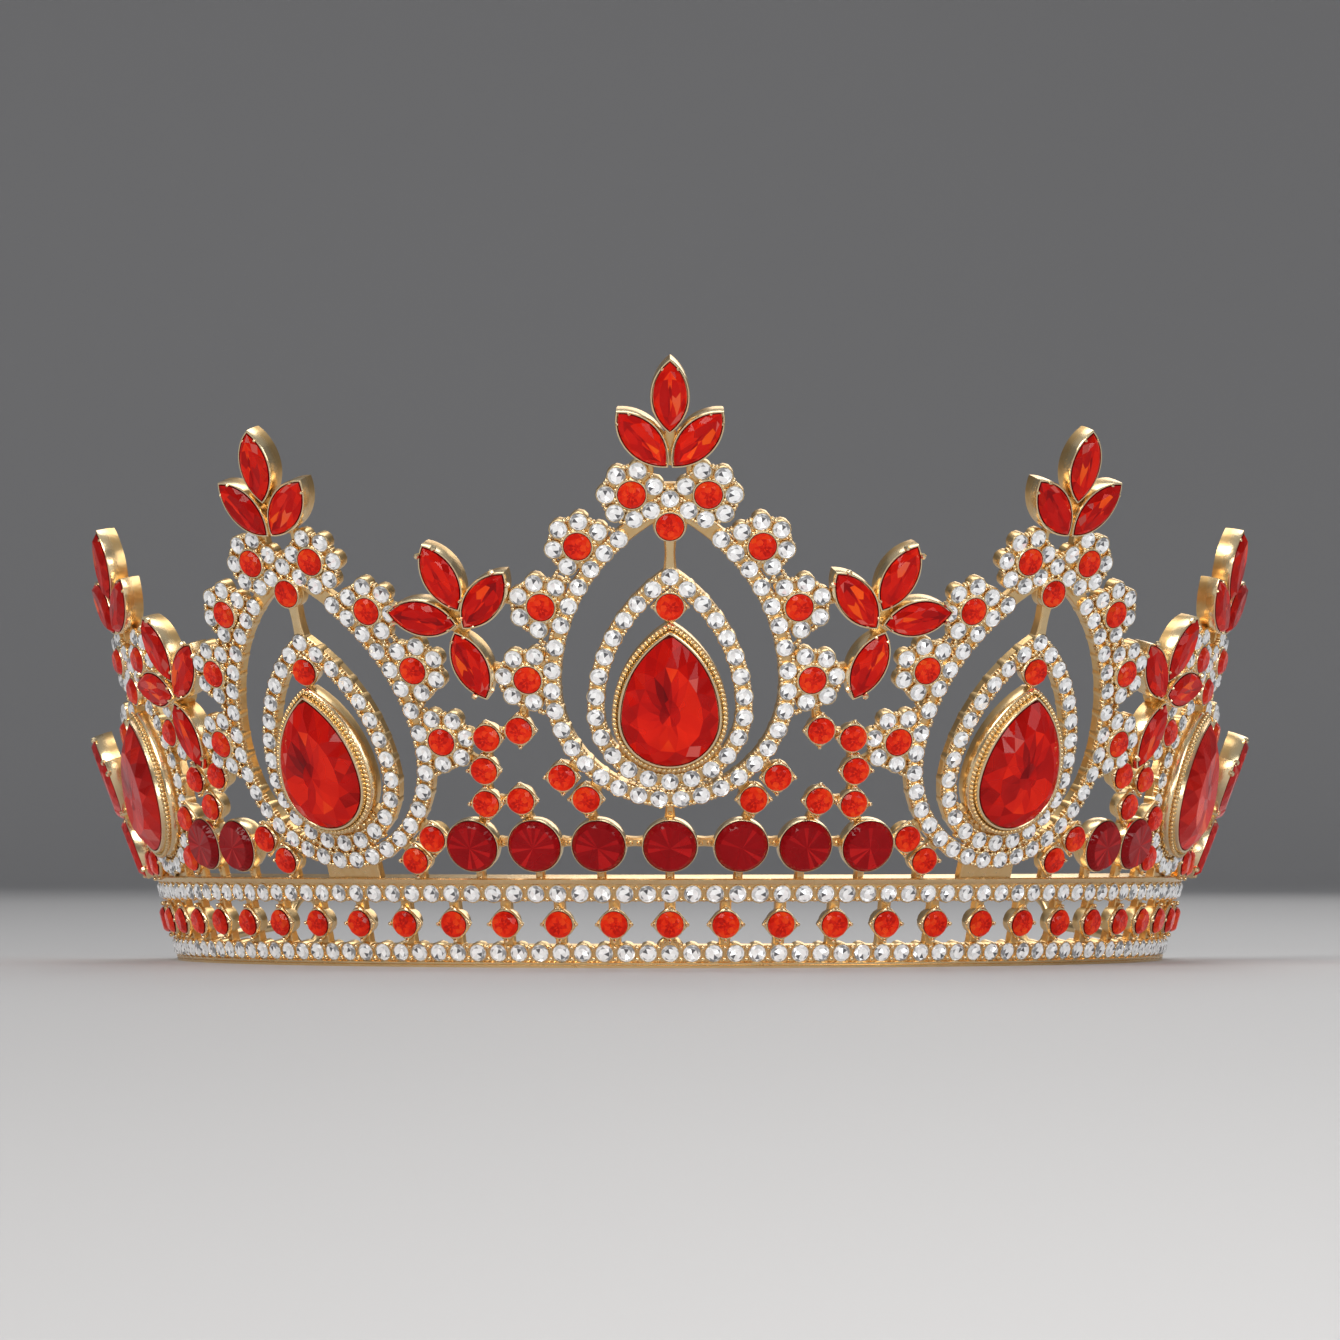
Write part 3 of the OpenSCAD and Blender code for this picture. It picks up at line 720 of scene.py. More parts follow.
def set_pattern(name, spots, pattern, finish, spin=0.0, seed=1, size=1.0):
    """One plain mesh object of a pattern repeated on a list of places."""
    cloud = bpy.data.meshes.new(name + "_places")
    cloud.from_pydata([tuple(s["at"] * MM) for s in spots], [], [])
    for key in ("out", "up"):
        values = np.concatenate([s[key] for s in spots]).astype(np.float32)
        cloud.attributes.new(key, "FLOAT_VECTOR", "POINT").data.foreach_set("vector", values)
    mesh = plain_result(cloud, place_tree, {"Pattern": pattern, "Spin": spin, "Size": size,
                                            "Seed": seed, "Finish": finish})
    mesh.name = name
    return new_object(name, mesh)


def pattern_object(name, mesh):
    """A pattern piece, kept out of the scene because only its copies are shown."""
    return bpy.data.objects.new(name, mesh)


given_names = [item.name for item in place_tree.interface.items_tree if item.in_out == "INPUT"]
print("a setting is given", given_names)


# %% [markdown]
# Where the clear stones sit.
# The clear stones follow the frames and rings and run seven round each small red one, and a flower
# shares its two nearest stones with the frame beside it. So a frame's row is spaced to straddle its
# flowers, and any stone that would touch a red one, or one already there, is left out.

# %% Space a row along an outline
def along(outline):
    """A function that gives the point at a distance along a closed outline, and its length."""
    closed = np.concatenate([outline, outline[:1]])
    far_along = np.concatenate([[0], np.cumsum(np.linalg.norm(np.diff(closed, axis=0), axis=1))])

    def point(d):
        d = np.mod(d, far_along[-1])
        return np.stack([np.interp(d, far_along, closed[:, k]) for k in (0, 1)], -1)
    return point, far_along[-1]


def row_marks(start, stop, anchors, pitch):
    """Distances of stones from one end to the other, a pair straddling each anchor between."""
    marks, begin = [start], start
    for anchor in [*anchors, None]:
        end = stop if anchor is None else anchor - pitch / 2
        count = max(1, round((end - begin) / pitch))
        marks += [begin + (end - begin) * k / count for k in range(1, count + 1)]
        if anchor is not None:
            marks.append(anchor + pitch / 2)
            begin = anchor + pitch / 2
    return marks


def frame_row(peak, pitch=2.93):
    """Stones of the outer frame's row, from the tip down the right side, and mirrored."""
    a, rho = peak["frame"]
    outline = pear_outline(a, rho, 0, 720, 0, peak["frame_y"])
    point, _ = along(outline)
    tip = rho * math.acos((rho - a) / rho)
    bottom = -math.pi * a / 2

    def nearest(x, y):
        d = np.linspace(bottom, tip, 600)
        return d[np.argmin(np.linalg.norm(point(d) - (x, y), axis=1))]

    anchors = [tip - nearest(x, y) for x, y in peak["flowers"]]
    marks = row_marks(0.0, tip - bottom - pitch / 2, anchors, pitch)
    right = point(tip - np.array(marks))
    right[0, 0] = 0.0
    return np.concatenate([right, right[1:] * (-1, 1)])


def ring_row(peak, count=26):
    """Stones of the inner ring, evenly from the tip to the foot on both sides."""
    a, rho = peak["ring"]
    point, _ = along(pear_outline(a, rho, 0, 720, 0, peak["ring_y"]))
    tip = rho * math.acos((rho - a) / rho)
    half = tip + math.pi * a / 2
    right = point(tip - np.arange(count // 2 + 1) * half / (count // 2))
    right[[0, -1], 0] = 0.0
    return np.concatenate([right, right[1:-1] * (-1, 1)])


print("places in the row of the centre peak's frame", len(frame_row(peaks["centre"])))


# %% Name the stones off the rows
def both_sides(places):
    """Places on the right, each with its mirror image."""
    return [(side * x, y) for x, y in places for side in (-1, 1)]


def cluster_stones(peak):
    """The clear stones round a peak's three red ones, from the lowest of those."""
    half = [(2.5, 2.1), (4.75, 0.85), (7.3, 1.65), (8.55, 4.2), (7.1, 6.85), (4.3, 7.6), (2.1, 5.45)]
    return [(x, peak["top_y"] + y) for x, y in [(0.0, 3.75), *both_sides(half)]]


def peak_reds(peak):
    """Small red stones of a peak, and whether each stands in a ring of clear ones."""
    reds = [(x, peak["top_y"] + y, True) for x, y in cluster]
    reds += [(x, y, True) for x, y in both_sides(peak["flowers"])]
    if peak["inner_red"]:
        reds.append((0.0, peak["inner_red"], False))
    return reds


print("red stones of the centre peak", len(peak_reds(peaks["centre"])))


# %% Space the clear stones of a peak
def clear_of_peak(peak, ring_r=3.32, nearest=2.42):
    """Places in the drawing of all the clear stones of one peak."""
    rows = [ring_row(peak, 24 if peak["far"] else 26)]
    if peak["frame"]:
        rows.insert(0, frame_row(peak))
    reds = peak_reds(peak)
    corners = both_sides(peak["corners"])
    kept = cluster_stones(peak)

    def offer(x, y):
        free = all(math.dist((x, y), q) > nearest for q in kept)
        off_reds = all(math.dist((x, y), q[:2]) > small_r + clear_r + 0.02 for q in reds)
        off_corners = all(math.dist((x, y), q) > small_r + clear_r for q in corners)
        if free and off_reds and off_corners:
            kept.append((x, y))

    for row in rows:
        for x, y in row:
            offer(x, y)
    in_rows = len(kept)
    for x, y, ringed in reds:
        if not ringed or y >= peak["top_y"]:
            continue
        near = [q for q in kept if math.dist(q, (x, y)) < 4.3]
        angles = sorted(math.atan2(q[1] - y, q[0] - x) for q in near)
        if not angles:
            angles = [-math.pi / 2]
        gaps = [((angles[(k + 1) % len(angles)] - a) % (2 * math.pi)) or 2 * math.pi
                for k, a in enumerate(angles)]
        for a, gap in zip(angles, gaps):
            count = round(gap / math.radians(50))
            for k in range(1, count):
                b = a + gap * k / count
                offer(x + ring_r * math.cos(b), y + ring_r * math.sin(b))
    first_row = len(cluster_stones(peak))
    return kept, kept[first_row:in_rows]


clear_spots, row_spots = {}, {}
for name, peak in peaks.items():
    clear_spots[name], row_spots[name] = clear_of_peak(peak)
print("clear stones", {name: len(spots) for name, spots in clear_spots.items()})

# %% [markdown]
# Bead prongs.
# The small stones are held by pairs of beads raised from the metal in the notches between them. So
# two beads go on either side of the middle of each neighbouring pair of stones, where nothing is in
# the way.

# %% Place the beads of a peak
def beads_of(stones, reds, reach=3.5, off=0.86, apart=0.25):
    """Places of beads between neighbouring stones, in a flat drawing."""
    beads = []
    for i, a in enumerate(stones):
        for b in stones[i + 1:]:
            d = math.dist(a, b)
            if d > reach:
                continue
            middle = np.add(a, b) / 2
            line = np.subtract(b, a) / d
            across = np.array([-line[1], line[0]])
            for side in (-1, 1):
                for shift in (-apart, apart):
                    spot = middle + side * off * across + shift * line
                    if all(math.dist(spot, s) > clear_r + 0.06 for s in stones) and \
                            all(math.dist(spot, r[:2]) > small_r + 0.12 for r in reds) and \
                            all(math.dist(spot, q) > 0.42 for q in beads):
                        beads.append(tuple(spot))
    return beads


bead_spots = {name: beads_of(clear_spots[name], peak_reds(peak)) for name, peak in peaks.items()}
print("beads", {name: len(spots) for name, spots in bead_spots.items()})

# %% [markdown]
# Patterns for the repeats.
# Each pattern is a small closed shell in its own flat drawing: a collar for a clear stone, a bead,
# a plain cup for a red stone inside a flower, a four-cornered setting with a ball on each corner
# for a red stone that stands free, a deep cup for a large round, and a grain of the rope edging.

# %% Make the patterns
def shell_pattern(name, shells, crease=40):
    heap = Heap()
    for points, faces in shells:
        heap.add(points, faces)
    return pattern_object(name, heap.mesh(name, crease))


def ball(r, x, y, w, n=7):
    """A ball as a turned shell."""
    steps = [math.radians(a) for a in (-62, -22, 22, 62)]
    points, faces = turned([(r * math.cos(a), r * math.sin(a)) for a in steps], n)
    return points + (x, y, w), faces


def cornered_setting():
    """A setting with four corners that flares from a round back to a square front."""
    n = 16
    corner = np.array([2.6 if k % 4 == 0 else 2.13 if k % 2 else 2.04 for k in range(n)])
    profile = [(1.7, -1.65), (1.9 + (corner - 2) * 0.3, -0.9), (corner * 0.985, -0.1), (corner, 0.16),
               (corner * 0.96, 0.3), (1.97 + (corner - 2.04) * 0.25, 0.42), (1.9, 0.42), (1.88, -0.1)]
    balls = [ball(0.31, 2.36 * math.cos(a), 2.36 * math.sin(a), 0.42) for a in np.arange(4) * math.pi / 2]
    return [turned(profile, n), *balls]


collar = shell_pattern("collar", [turned(
    [(1.34, back_w), (1.42, -0.15), (1.33, 0.1), (1.21, 0.12), (1.19, -0.15)], 12)])
row_collar = shell_pattern("row_collar", [turned(
    [(1.24, back_w), (1.32, -0.3), (1.32, 0.06), (1.21, 0.12), (1.19, -0.15)], 12)])
bead = shell_pattern("bead", [turned([(0.3, -0.5), (0.3, 0.16), (0.24, 0.32), (0.1, 0.4)], 7)], 80)
flower_cup = shell_pattern("flower_cup", [turned(
    [(2.1, back_w), (2.2, -0.6), (2.16, 0.42), (2.08, 0.58), (1.95, 0.6), (1.88, 0.48), (1.87, 0.0)], 24)])
free_setting = shell_pattern("free_setting", cornered_setting())
round_cup = shell_pattern("round_cup", [turned(
    [(3.2, -1.7), (3.55, -1.1), (3.8, -0.2), (3.82, 0.8), (3.77, 0.98), (3.67, 1.02), (3.59, 0.94),
     (3.57, 0.3)], 44)])
rope_grain = shell_pattern("rope_grain", [turned(
    [(0.1, -0.42), (0.3, -0.22), (0.36, 0.0), (0.3, 0.22), (0.1, 0.42)], 8)], 80)
small_cut = cut_stone(round_outline(small_r, 20), (0.1, 0.6, 1.2), (0.86, 0.7, 0.42, 0.24), 11, 0.14,
                      small_shade)
small_pattern = pattern_object("small_red", stone_mesh("small_red", [small_cut], [0.0]))
clear_pattern = pattern_object("clear", stone_mesh("clear", [clear_cut], [0.0]))
print("faces", {o.name: len(o.data.polygons) for o in (
    collar, bead, flower_cup, free_setting, round_cup, rope_grain, small_pattern, clear_pattern)})

# %% [markdown]
# The two rails.
# Each rail is one profile swept round the head: a smooth lip or ledge, a shallow seat where the
# stones lie, and a plain inner face. A Geometry Nodes tree sweeps the profile along an arc, which
# suits a shape that follows a rule exactly.

# %% Sweep a profile round the head
def rail_tree():
    tree, recipe, given = new_tree("sweep_round_head", [
        ("Half angle", "Float"), ("Steps", "Int"), ("Finish", "Material")])
    outline = recipe.add("GeometryNodeMeshToCurve", {"Mesh": given["Geometry"]})
    start = recipe.add("ShaderNodeMath", {0: -math.pi / 2, 1: given["Half angle"]}, operation="SUBTRACT")
    whole = recipe.add("ShaderNodeMath", {0: given["Half angle"], 1: 2.0}, operation="MULTIPLY")
    arc = recipe.add("GeometryNodeCurveArc", {"Radius": rim_r * MM, "Resolution": given["Steps"],
                                              "Start Angle": start, "Sweep Angle": whole})
    flow = recipe.add("GeometryNodeCurveToMesh", {"Curve": arc, "Profile Curve": outline, "Fill Caps": True})
    flow = recipe.add("GeometryNodeRealizeInstances", {"Geometry": flow})
    end_tree(recipe, flow, given["Finish"])
    return tree


sweep_tree = rail_tree()


def swept_rail(name, profile, half_angle, steps=180):
    """A rail from a closed profile of y up the slope and w outwards."""
    t = math.radians(band_lean)
    out = [(y * math.sin(t) + w * math.cos(t), y * math.cos(t) - w * math.sin(t)) for y, w in profile]
    points = [(r * MM, -max(z, 0.0) * MM, 0.0) for r, z in out]
    count = len(points)
    mesh = bpy.data.meshes.new(name + "_profile")
    mesh.from_pydata(points, [(i, (i + 1) % count) for i in range(count)], [])
    store_height(mesh, [w for _, w in profile])
    mesh = plain_result(mesh, sweep_tree, {"Half angle": math.radians(half_angle), "Steps": steps,
                                           "Finish": cast_gold})
    mesh.shade_smooth()
    mesh.set_sharp_from_angle(angle=math.radians(32))
    rail = new_object(name, mesh)
    lows = np.array([v.co for v in mesh.vertices])
    print(name, "box in mm", (lows.min(0) / MM).round(1), (lows.max(0) / MM).round(1))
    return rail


lower_profile = [(0.0, 0.0), (0.3, 0.0), (0.38, -0.1), (0.46, 0.0), (0.72, -0.02), (0.84, -0.33),
                 (2.9, -0.35), (3.05, -0.5), (3.05, -1.35), (2.85, back_w), (1.0, back_w),
                 (0.8, -rail_t), (-0.62, -rail_t)]
upper_profile = [(9.25, -0.5), (9.4, -0.35), (11.66, -0.33), (11.78, -0.02), (11.9, 0.05), (12.4, 0.05),
                 (rail_top_y, -0.12), (rail_top_y, -rail_t + 0.2), (rail_top_y - 0.2, -rail_t),
                 (11.7, -rail_t), (11.5, back_w), (9.45, back_w), (9.25, -1.35)]
lower_rail = swept_rail("lower_rail", lower_profile, band_end)
upper_rail = swept_rail("upper_rail", upper_profile, band_end)

# %% [markdown]
# The gold band.
# On the rails lie two rows of clear stones, each in a collar with beads between. Between the rails
# stand thirty-three four-cornered settings, whose upper and lower corners touch the rails, each
# with a flat post behind it.

# %% Fit out the band
def join(name, things):
    """One object of several, under the first one's place."""
    first = things[0]
    with bpy.context.temp_override(active_object=first, object=first, selected_objects=things,
                                   selected_editable_objects=things):
        bpy.ops.object.join()
    first.name = first.data.name = name
    return first


def box_shell(x0, x1, y0, y1, w0, w1, bevel=0.15):
    """A flat bar with its front edges taken off."""
    def ring(d, w):
        return level(np.array([(x1 - d, y0 + d), (x1 - d, y1 - d), (x0 + d, y1 - d), (x0 + d, y0 + d)]), w)
    return stack([ring(0, w0), ring(0, w1 - bevel), ring(bevel, w1)])


row_step = 0.4 * step_deg
row_angles = [k * row_step for k in range(-40, 41)]
row_ys = (2.0, 10.35)
rail_spots = [band_place(phi, y, front_w) for y in row_ys for phi in row_angles]
rail_beads = [band_place(phi + row_step / 2, y + side * 0.8, -0.32)
              for y in row_ys for phi in row_angles[:-1] for side in (-1, 1)]
band_angles = [k * step_deg for k in range(-side_settings, side_settings + 1)]
band_spots = [band_place(phi, band_row_y, front_w) for phi in band_angles]

posts = Heap()
for phi in band_angles:
    posts.put(box_shell(-0.75, 0.75, -3.5, 3.5, -1.7, -0.6), band_place(phi, band_row_y))
front_spot = band_place(0.0, 2.2)
posts.put(turned([(2.0, back_w), (2.0, -0.5), (1.8, -0.32)], 24), front_spot)
for a in np.radians([35, 65, 115, 145]):
    posts.put(ball(0.3, 1.72 * math.cos(a), 1.72 * math.sin(a), -0.15), front_spot)
band_parts = [lower_rail, upper_rail, new_object("posts", posts.mesh("posts", 40, cast_gold)),
              set_pattern("rail_collars", rail_spots, collar, cast_gold),
              set_pattern("rail_beads", rail_beads, bead, cast_gold, spin=any_way, seed=3),
              set_pattern("band_settings", band_spots, free_setting, cast_gold)]
gold_band = join("gold_band", band_parts)
clear_band = set_pattern("clear_stones_band", rail_spots, clear_pattern, clear, spin=any_way, seed=5)
red_band = set_pattern("band_reds", band_spots, small_pattern, small_red, spin=any_way, seed=6)
print("band", len(gold_band.data.polygons), "faces of gold,", len(rail_spots), "clear stones")

# %% [markdown]
# Leaf settings.
# A pointed stone sits proud in a deep, smooth, leaf-shaped cup. On a petal, two ball-ended prongs
# flank the outer tip and two smaller ones the inner tip. A leaf on a peak has one small pair.

# %% Shape the leaf settings
leaf_rings = [(0.28, back_w), (0.37, -0.5), (0.4, 1.1), (0.33, 1.26), (0.17, 1.28), (0.1, 1.15), (0.1, 0.0)]
leaf_shell = stack([level(leaf_outline(leaf_l, leaf_w, grow, 36), w) for grow, w in leaf_rings])
petal_prongs = [ball(r, side * x, y, 1.35) for x, y, r in ((1.35, 4.05, 0.46), (0.9, -3.95, 0.28))
                for side in (-1, 1)]
trio_prongs = [ball(0.27, side * 1.05, 3.75, 1.3) for side in (-1, 1)]


def add_leaf(heap, spot, prongs):
    for shell in (leaf_shell, *prongs):
        heap.put(shell, spot)


def leaf_spots(peak):
    return {name: sheet_place(peak, x, peak["top_y"] + y, turn) for name, (x, y, turn) in trio.items()}


print("a leaf setting has", len(leaf_shell[1]) + sum(len(p[1]) for p in petal_prongs), "faces")

# %% [markdown]
# The gold of a peak.
# Two strips, a frame and a ring, carry the clear stones. Discs back each flower and the cluster. The
# large pear stone has a deep bezel that curves in over it to a thin lip, with a rope edging round
# its foot. The strips and discs are flat drawings carried onto the cone, with enough points along
# them to follow it.

# %% Draw the parts of a peak
def add_carried(heap, peak, shell):
    """Adds a flat shell to a heap, carried onto a peak."""
    points, faces = shell
    heap.add(carry(peak, points), faces, points[:, 2])


def strip(heap, peak, a, rho, y, n, half=1.12):
    """A flat strip round a pear outline."""
    edge = [(half, back_w), (half, -0.42), (half - 0.14, -0.28), (0.14 - half, -0.28), (-half, -0.42),
            (-half, back_w)]
    add_carried(heap, peak, stack([level(pear_outline(a, rho, grow, n, 0, y), w) for grow, w in edge], True))


def disc(heap, peak, x, y, r, n=28):
    points, faces = turned([(r, back_w), (r, -0.4), (r - 0.12, -0.3)], n)
    add_carried(heap, peak, (points + (x, y, 0), faces))


def tongue(heap, peak, start, towards, length, width=1.7):
    """A short flat bar from a place towards another."""
    line = np.subtract(towards, start) / math.dist(towards, start)
    across = np.array([-line[1], line[0]])
    points, faces = box_shell(0.0, length, -width / 2, width / 2, back_w, -0.4)
    flat = start + points[:, :1] * line + points[:, 1:2] * across
    add_carried(heap, peak, (np.column_stack([flat, points[:, 2]]), faces))


def crescent(heap, peak):
    """The gold that fills the foot of the inner ring, between the rope edging and the stones."""
    sections = []
    for a in np.radians(np.linspace(-142, -38, 22)):
        out = np.array([math.cos(a), math.sin(a)])
        for r, w in ((7.2, back_w), (8.9, back_w), (8.9, -0.35), (7.2, -0.2)):
            sections.append([*(r * out + (0, peak["ring_y"])), w])
    add_carried(heap, peak, stack(np.array(sections).reshape(-1, 4, 3)))
    for a in np.radians(np.linspace(-134, -46, 12)):
        add_carried(heap, peak, ball(0.3, 8.35 * math.cos(a), 8.35 * math.sin(a) + peak["ring_y"], -0.1))


def bar_shell(length, width, w0, w1):
    """A short bar along x that flares at both ends, with its upper edges rounded."""
    along_x = np.array([0, 0.3, 0.5, 0.7, 1.0]) * length
    flare = np.array([1.2, 1.0, 0.94, 1.0, 1.2]) * width / 2
    rings = []
    for x, half in zip(along_x, flare):
        section = [(half, w0), (half, w1 - 0.3), (half * 0.65, w1), (-half * 0.65, w1), (-half, w1 - 0.3),
                   (-half, w0)]
        rings.append(np.array([(x, y, w) for y, w in section]))
    return stack(rings)


print("a short bar has", len(bar_shell(4.0, 1.5, back_w, 0.05)[1]), "faces")


# %% Build the flat parts of a peak
def add_plates(heap, peak):
    """The strips, discs, tongues, bar and plates of a peak."""
    if peak["frame"]:
        strip(heap, peak, *peak["frame"], peak["frame_y"], 150)
    strip(heap, peak, *peak["ring"], peak["ring_y"], 110)
    for x, y, ringed in peak_reds(peak):
        if ringed:
            disc(heap, peak, x, y, 2.3 if y == peak["top_y"] else 3.4)
    for corner in both_sides(peak["corners"]):
        disc(heap, peak, *corner, 2.0)
        tongue(heap, peak, corner, (0.0, peak["frame_y"]), 3.2)
    crescent(heap, peak)
    top, (ring_a, ring_rho) = peak["top_y"], peak["ring"]
    tip = peak["ring_y"] + ring_rho * math.sin(math.acos(1 - ring_a / ring_rho))
    points, faces = bar_shell(top - tip - 2.4, 1.5, back_w, 0.05)
    upright = np.column_stack([-points[:, 1], points[:, 0] + tip + 0.8, points[:, 2]])
    add_carried(heap, peak, (upright, faces))
    # each plate's left, right, foot, head and front
    plates = [(-3.0, -2.2, top + 4, top + 9.8, front_w), (2.2, 3.0, top + 4, top + 9.8, front_w),
              (-2.9, 2.9, top + 8.25, top + 9.8, -0.35), (-2.9, 2.9, top + 3.5, top + 5.7, -0.4),
              (-0.75, 0.75, top + 8.3, top + 15, front_w)]
    foot = peak["ring_y"] - ring_a if peak["far"] else peak["frame_y"] - peak["frame"][0]
    if foot < rail_top_y + 4:
        plates.append((-4.5, 4.5, rail_top_y - 0.8, foot, front_w))
    for x0, x1, y0, y1, w1 in plates:
        add_carried(heap, peak, box_shell(x0, x1, y0, y1, back_w, w1))


sample_heap = Heap()
add_plates(sample_heap, peaks["centre"])
print("flat shells on the centre peak", len(sample_heap.depths))


# %% Shape the bezel and its rope edging
bezel = [(1.0, back_w), (1.2, -0.5), (1.2, 0.5), (1.05, 0.85), (0.62, 1.2), (0.5, 1.8), (0.45, 2.03),
         (0.36, 2.1), (0.17, 2.1), (0.09, 2.03), (0.08, 1.9), (0.08, 0.0)]
bezel_shell = stack([level(pear_outline(pear_a, pear_rho, grow, 96), w) for grow, w in bezel])


def rope_grains(spot, off=0.97, w=1.35, pitch=0.66, slope=0.75):
    """Places of the slanted grains of the rope edging round a pear."""
    point, total = along(pear_outline(pear_a, pear_rho, off, 720))
    count = round(total / pitch)
    grains = []
    for k in range(count):
        x, y = point(total * k / count)
        ahead = point(total * k / count + 0.1) - (x, y)
        slant = np.array([[ahead[0] - ahead[1] * slope, ahead[1] + ahead[0] * slope, 0.0]])
        line = turned_with(spot, slant)[0]
        at = in_space(np.array([[x, y, w]]), spot)[0]
        grains.append(dict(at=at, out=line / np.linalg.norm(line), up=spot["out"]))
    return grains


print("a bezel has", len(bezel_shell[1]), "faces")


# %% Build the peaks
def built_peak(name, peak):
    """A peak's gold, its clear stones and its small red ones, as three pieces."""
    def spots_at(places):
        return [sheet_place(peak, x, y) for x, y in places]

    heap = Heap()
    add_plates(heap, peak)
    spot = sheet_place(peak, 0, peak["pear_y"])
    heap.put(bezel_shell, spot)
    for leaf_spot in leaf_spots(peak).values():
        add_leaf(heap, leaf_spot, trio_prongs)
    reds, rows = peak_reds(peak), row_spots[name]
    off_rows = [q for q in clear_spots[name] if q not in rows]
    ringed = spots_at([(x, y) for x, y, in_ring in reds if in_ring])
    free = spots_at([(x, y) for x, y, in_ring in reds if not in_ring] + both_sides(peak["corners"]))
    parts = [new_object("body", heap.mesh("body", 35, cast_gold)),
             set_pattern("collars", spots_at(off_rows), collar, cast_gold),
             set_pattern("row_collars", spots_at(rows), row_collar, cast_gold),
             set_pattern("beads", spots_at(bead_spots[name]), bead, cast_gold, spin=any_way, seed=7),
             set_pattern("cups", ringed, flower_cup, cast_gold),
             set_pattern("rope", rope_grains(spot), rope_grain, cast_gold)]
    if free:
        parts.append(set_pattern("free", free, free_setting, cast_gold))
    gold = join("gold_peak_" + name, parts)
    clears = set_pattern("clear_stones_" + name, spots_at(clear_spots[name]), clear_pattern, clear,
                         spin=any_way, seed=8)
    small = set_pattern("reds_" + name, ringed + free, small_pattern, small_red, spin=any_way, seed=9)
    return gold, clears, small


built = {name: built_peak(name, peak) for name, peak in peaks.items()}
print("peaks", {name: len(parts[0].data.polygons) for name, parts in built.items()})

# %% [markdown]
# The links between the peaks.
# Large round stones, chains of small settings and four-petal flowers fill the spaces, all joined by
# short cast bars. Each bar runs between two named places and stops a little inside each.

# %% Name the ends of the bars
def space_point(q, w):
    return slope_points(np.array(q[0]), q[1], q[2], w)


def below(q):
    return (q[0], rail_top_y - 0.8, q[2])


def petal_at(flower, petal):
    r = rail_top_r + (flower[1] - rail_top_y) * math.sin(math.radians(flower[2]))
    return (flower[0] + math.degrees(petal[0] / r), flower[1] + petal[1], flower[2])


def peak_at(name, kind, side, i):
    """A flower or a corner of a peak."""
    x, y = peaks[name][kind][i]
    return sheet_spot(peaks[name], side * x, y)


print("a bar to the rail ends at", space_point(below(rounds[0]), bar_w).round(1))

# %% List the bars of the right side
in_small, in_round, in_flower, in_petal = 1.7, 3.4, 3.7, 1.2
middle_round = 5


def right_bars():
    """The right side's bars, each with two ends: a place, and how far inside it the bar stops."""
    def link(i):
        return chain[i], in_small

    def large(i):
        return rounds[middle_round + i], in_round

    def flower(name, side, i):
        return peak_at(name, "flowers", side, i), in_flower

    def corner(name, side, i):
        return peak_at(name, "corners", side, i), in_small

    def petal(i, k):
        return petal_at(petal_flowers[i], petals[k]), in_petal

    def to_rail(end):
        return end, (below(end[0]), 0)

    bars = [(flower("centre", 1, 2), link(0))]
    bars += [(link(i), link(i + 1)) for i in (0, 1, 2, 3, 5, 6, 8, 10, 11)]
    bars += [(link(2), flower("right", -1, 2)), (link(3), large(3)), (link(4), large(2)),
             (corner("centre", 1, 1), large(1))]
    bars += [(large(i), large(i + 1)) for i in (0, 1, 2, 4)]
    bars += [(flower("centre", 1, 1), petal(0, 1)), (flower("centre", 1, 2), petal(0, 3)),
             (flower("right", -1, 0), petal(0, 2))]
    bars += [to_rail(corner("right", side, 1)) for side in (-1, 1)]
    bars += [(corner("right", 1, 0), large(4)), (flower("right", 1, 2), link(5)), (link(7), large(5)),
             (large(5), link(8)), to_rail(link(9)), (link(5), petal(1, 3)),
             (flower("far_right", -1, 0), petal(1, 2))]
    bars += [to_rail(link(i)) for i in (11, 12, 13)]
    bars += [(link(i), petal(2, 3)) for i in (12, 13)]
    return bars + [(link(10), (sheet_spot(peaks["far_right"], 10.0, chain[10][1] + 1), 0))]


print("bars on the right", len(right_bars()))


# %% Build the links of one side
def add_bar(heap, start, start_in, end, end_in):
    a, b = space_point(start, bar_w), space_point(end, bar_w)
    line = (b - a) / np.linalg.norm(b - a)
    out = directions(start[0], start[2])[0] + directions(end[0], end[2])[0]
    out -= out @ line * line
    out /= np.linalg.norm(out)
    length = np.linalg.norm(b - a) - start_in - end_in
    here = dict(at=a + line * start_in, out=out, up=np.cross(out, line))
    heap.put(bar_shell(length, 1.25, 0.0, 1.05), here, bar_w)
    for x in (0.28, 0.72) if length > 1.6 else (0.5,):
        heap.put(ball(0.38, length * x, 0, 0.95), here, bar_w)


def petal_spots(flower, side):
    return [place(*mirrored(petal_at(flower, q), side), turn=side * (q[2] - 90)) for q in petals]


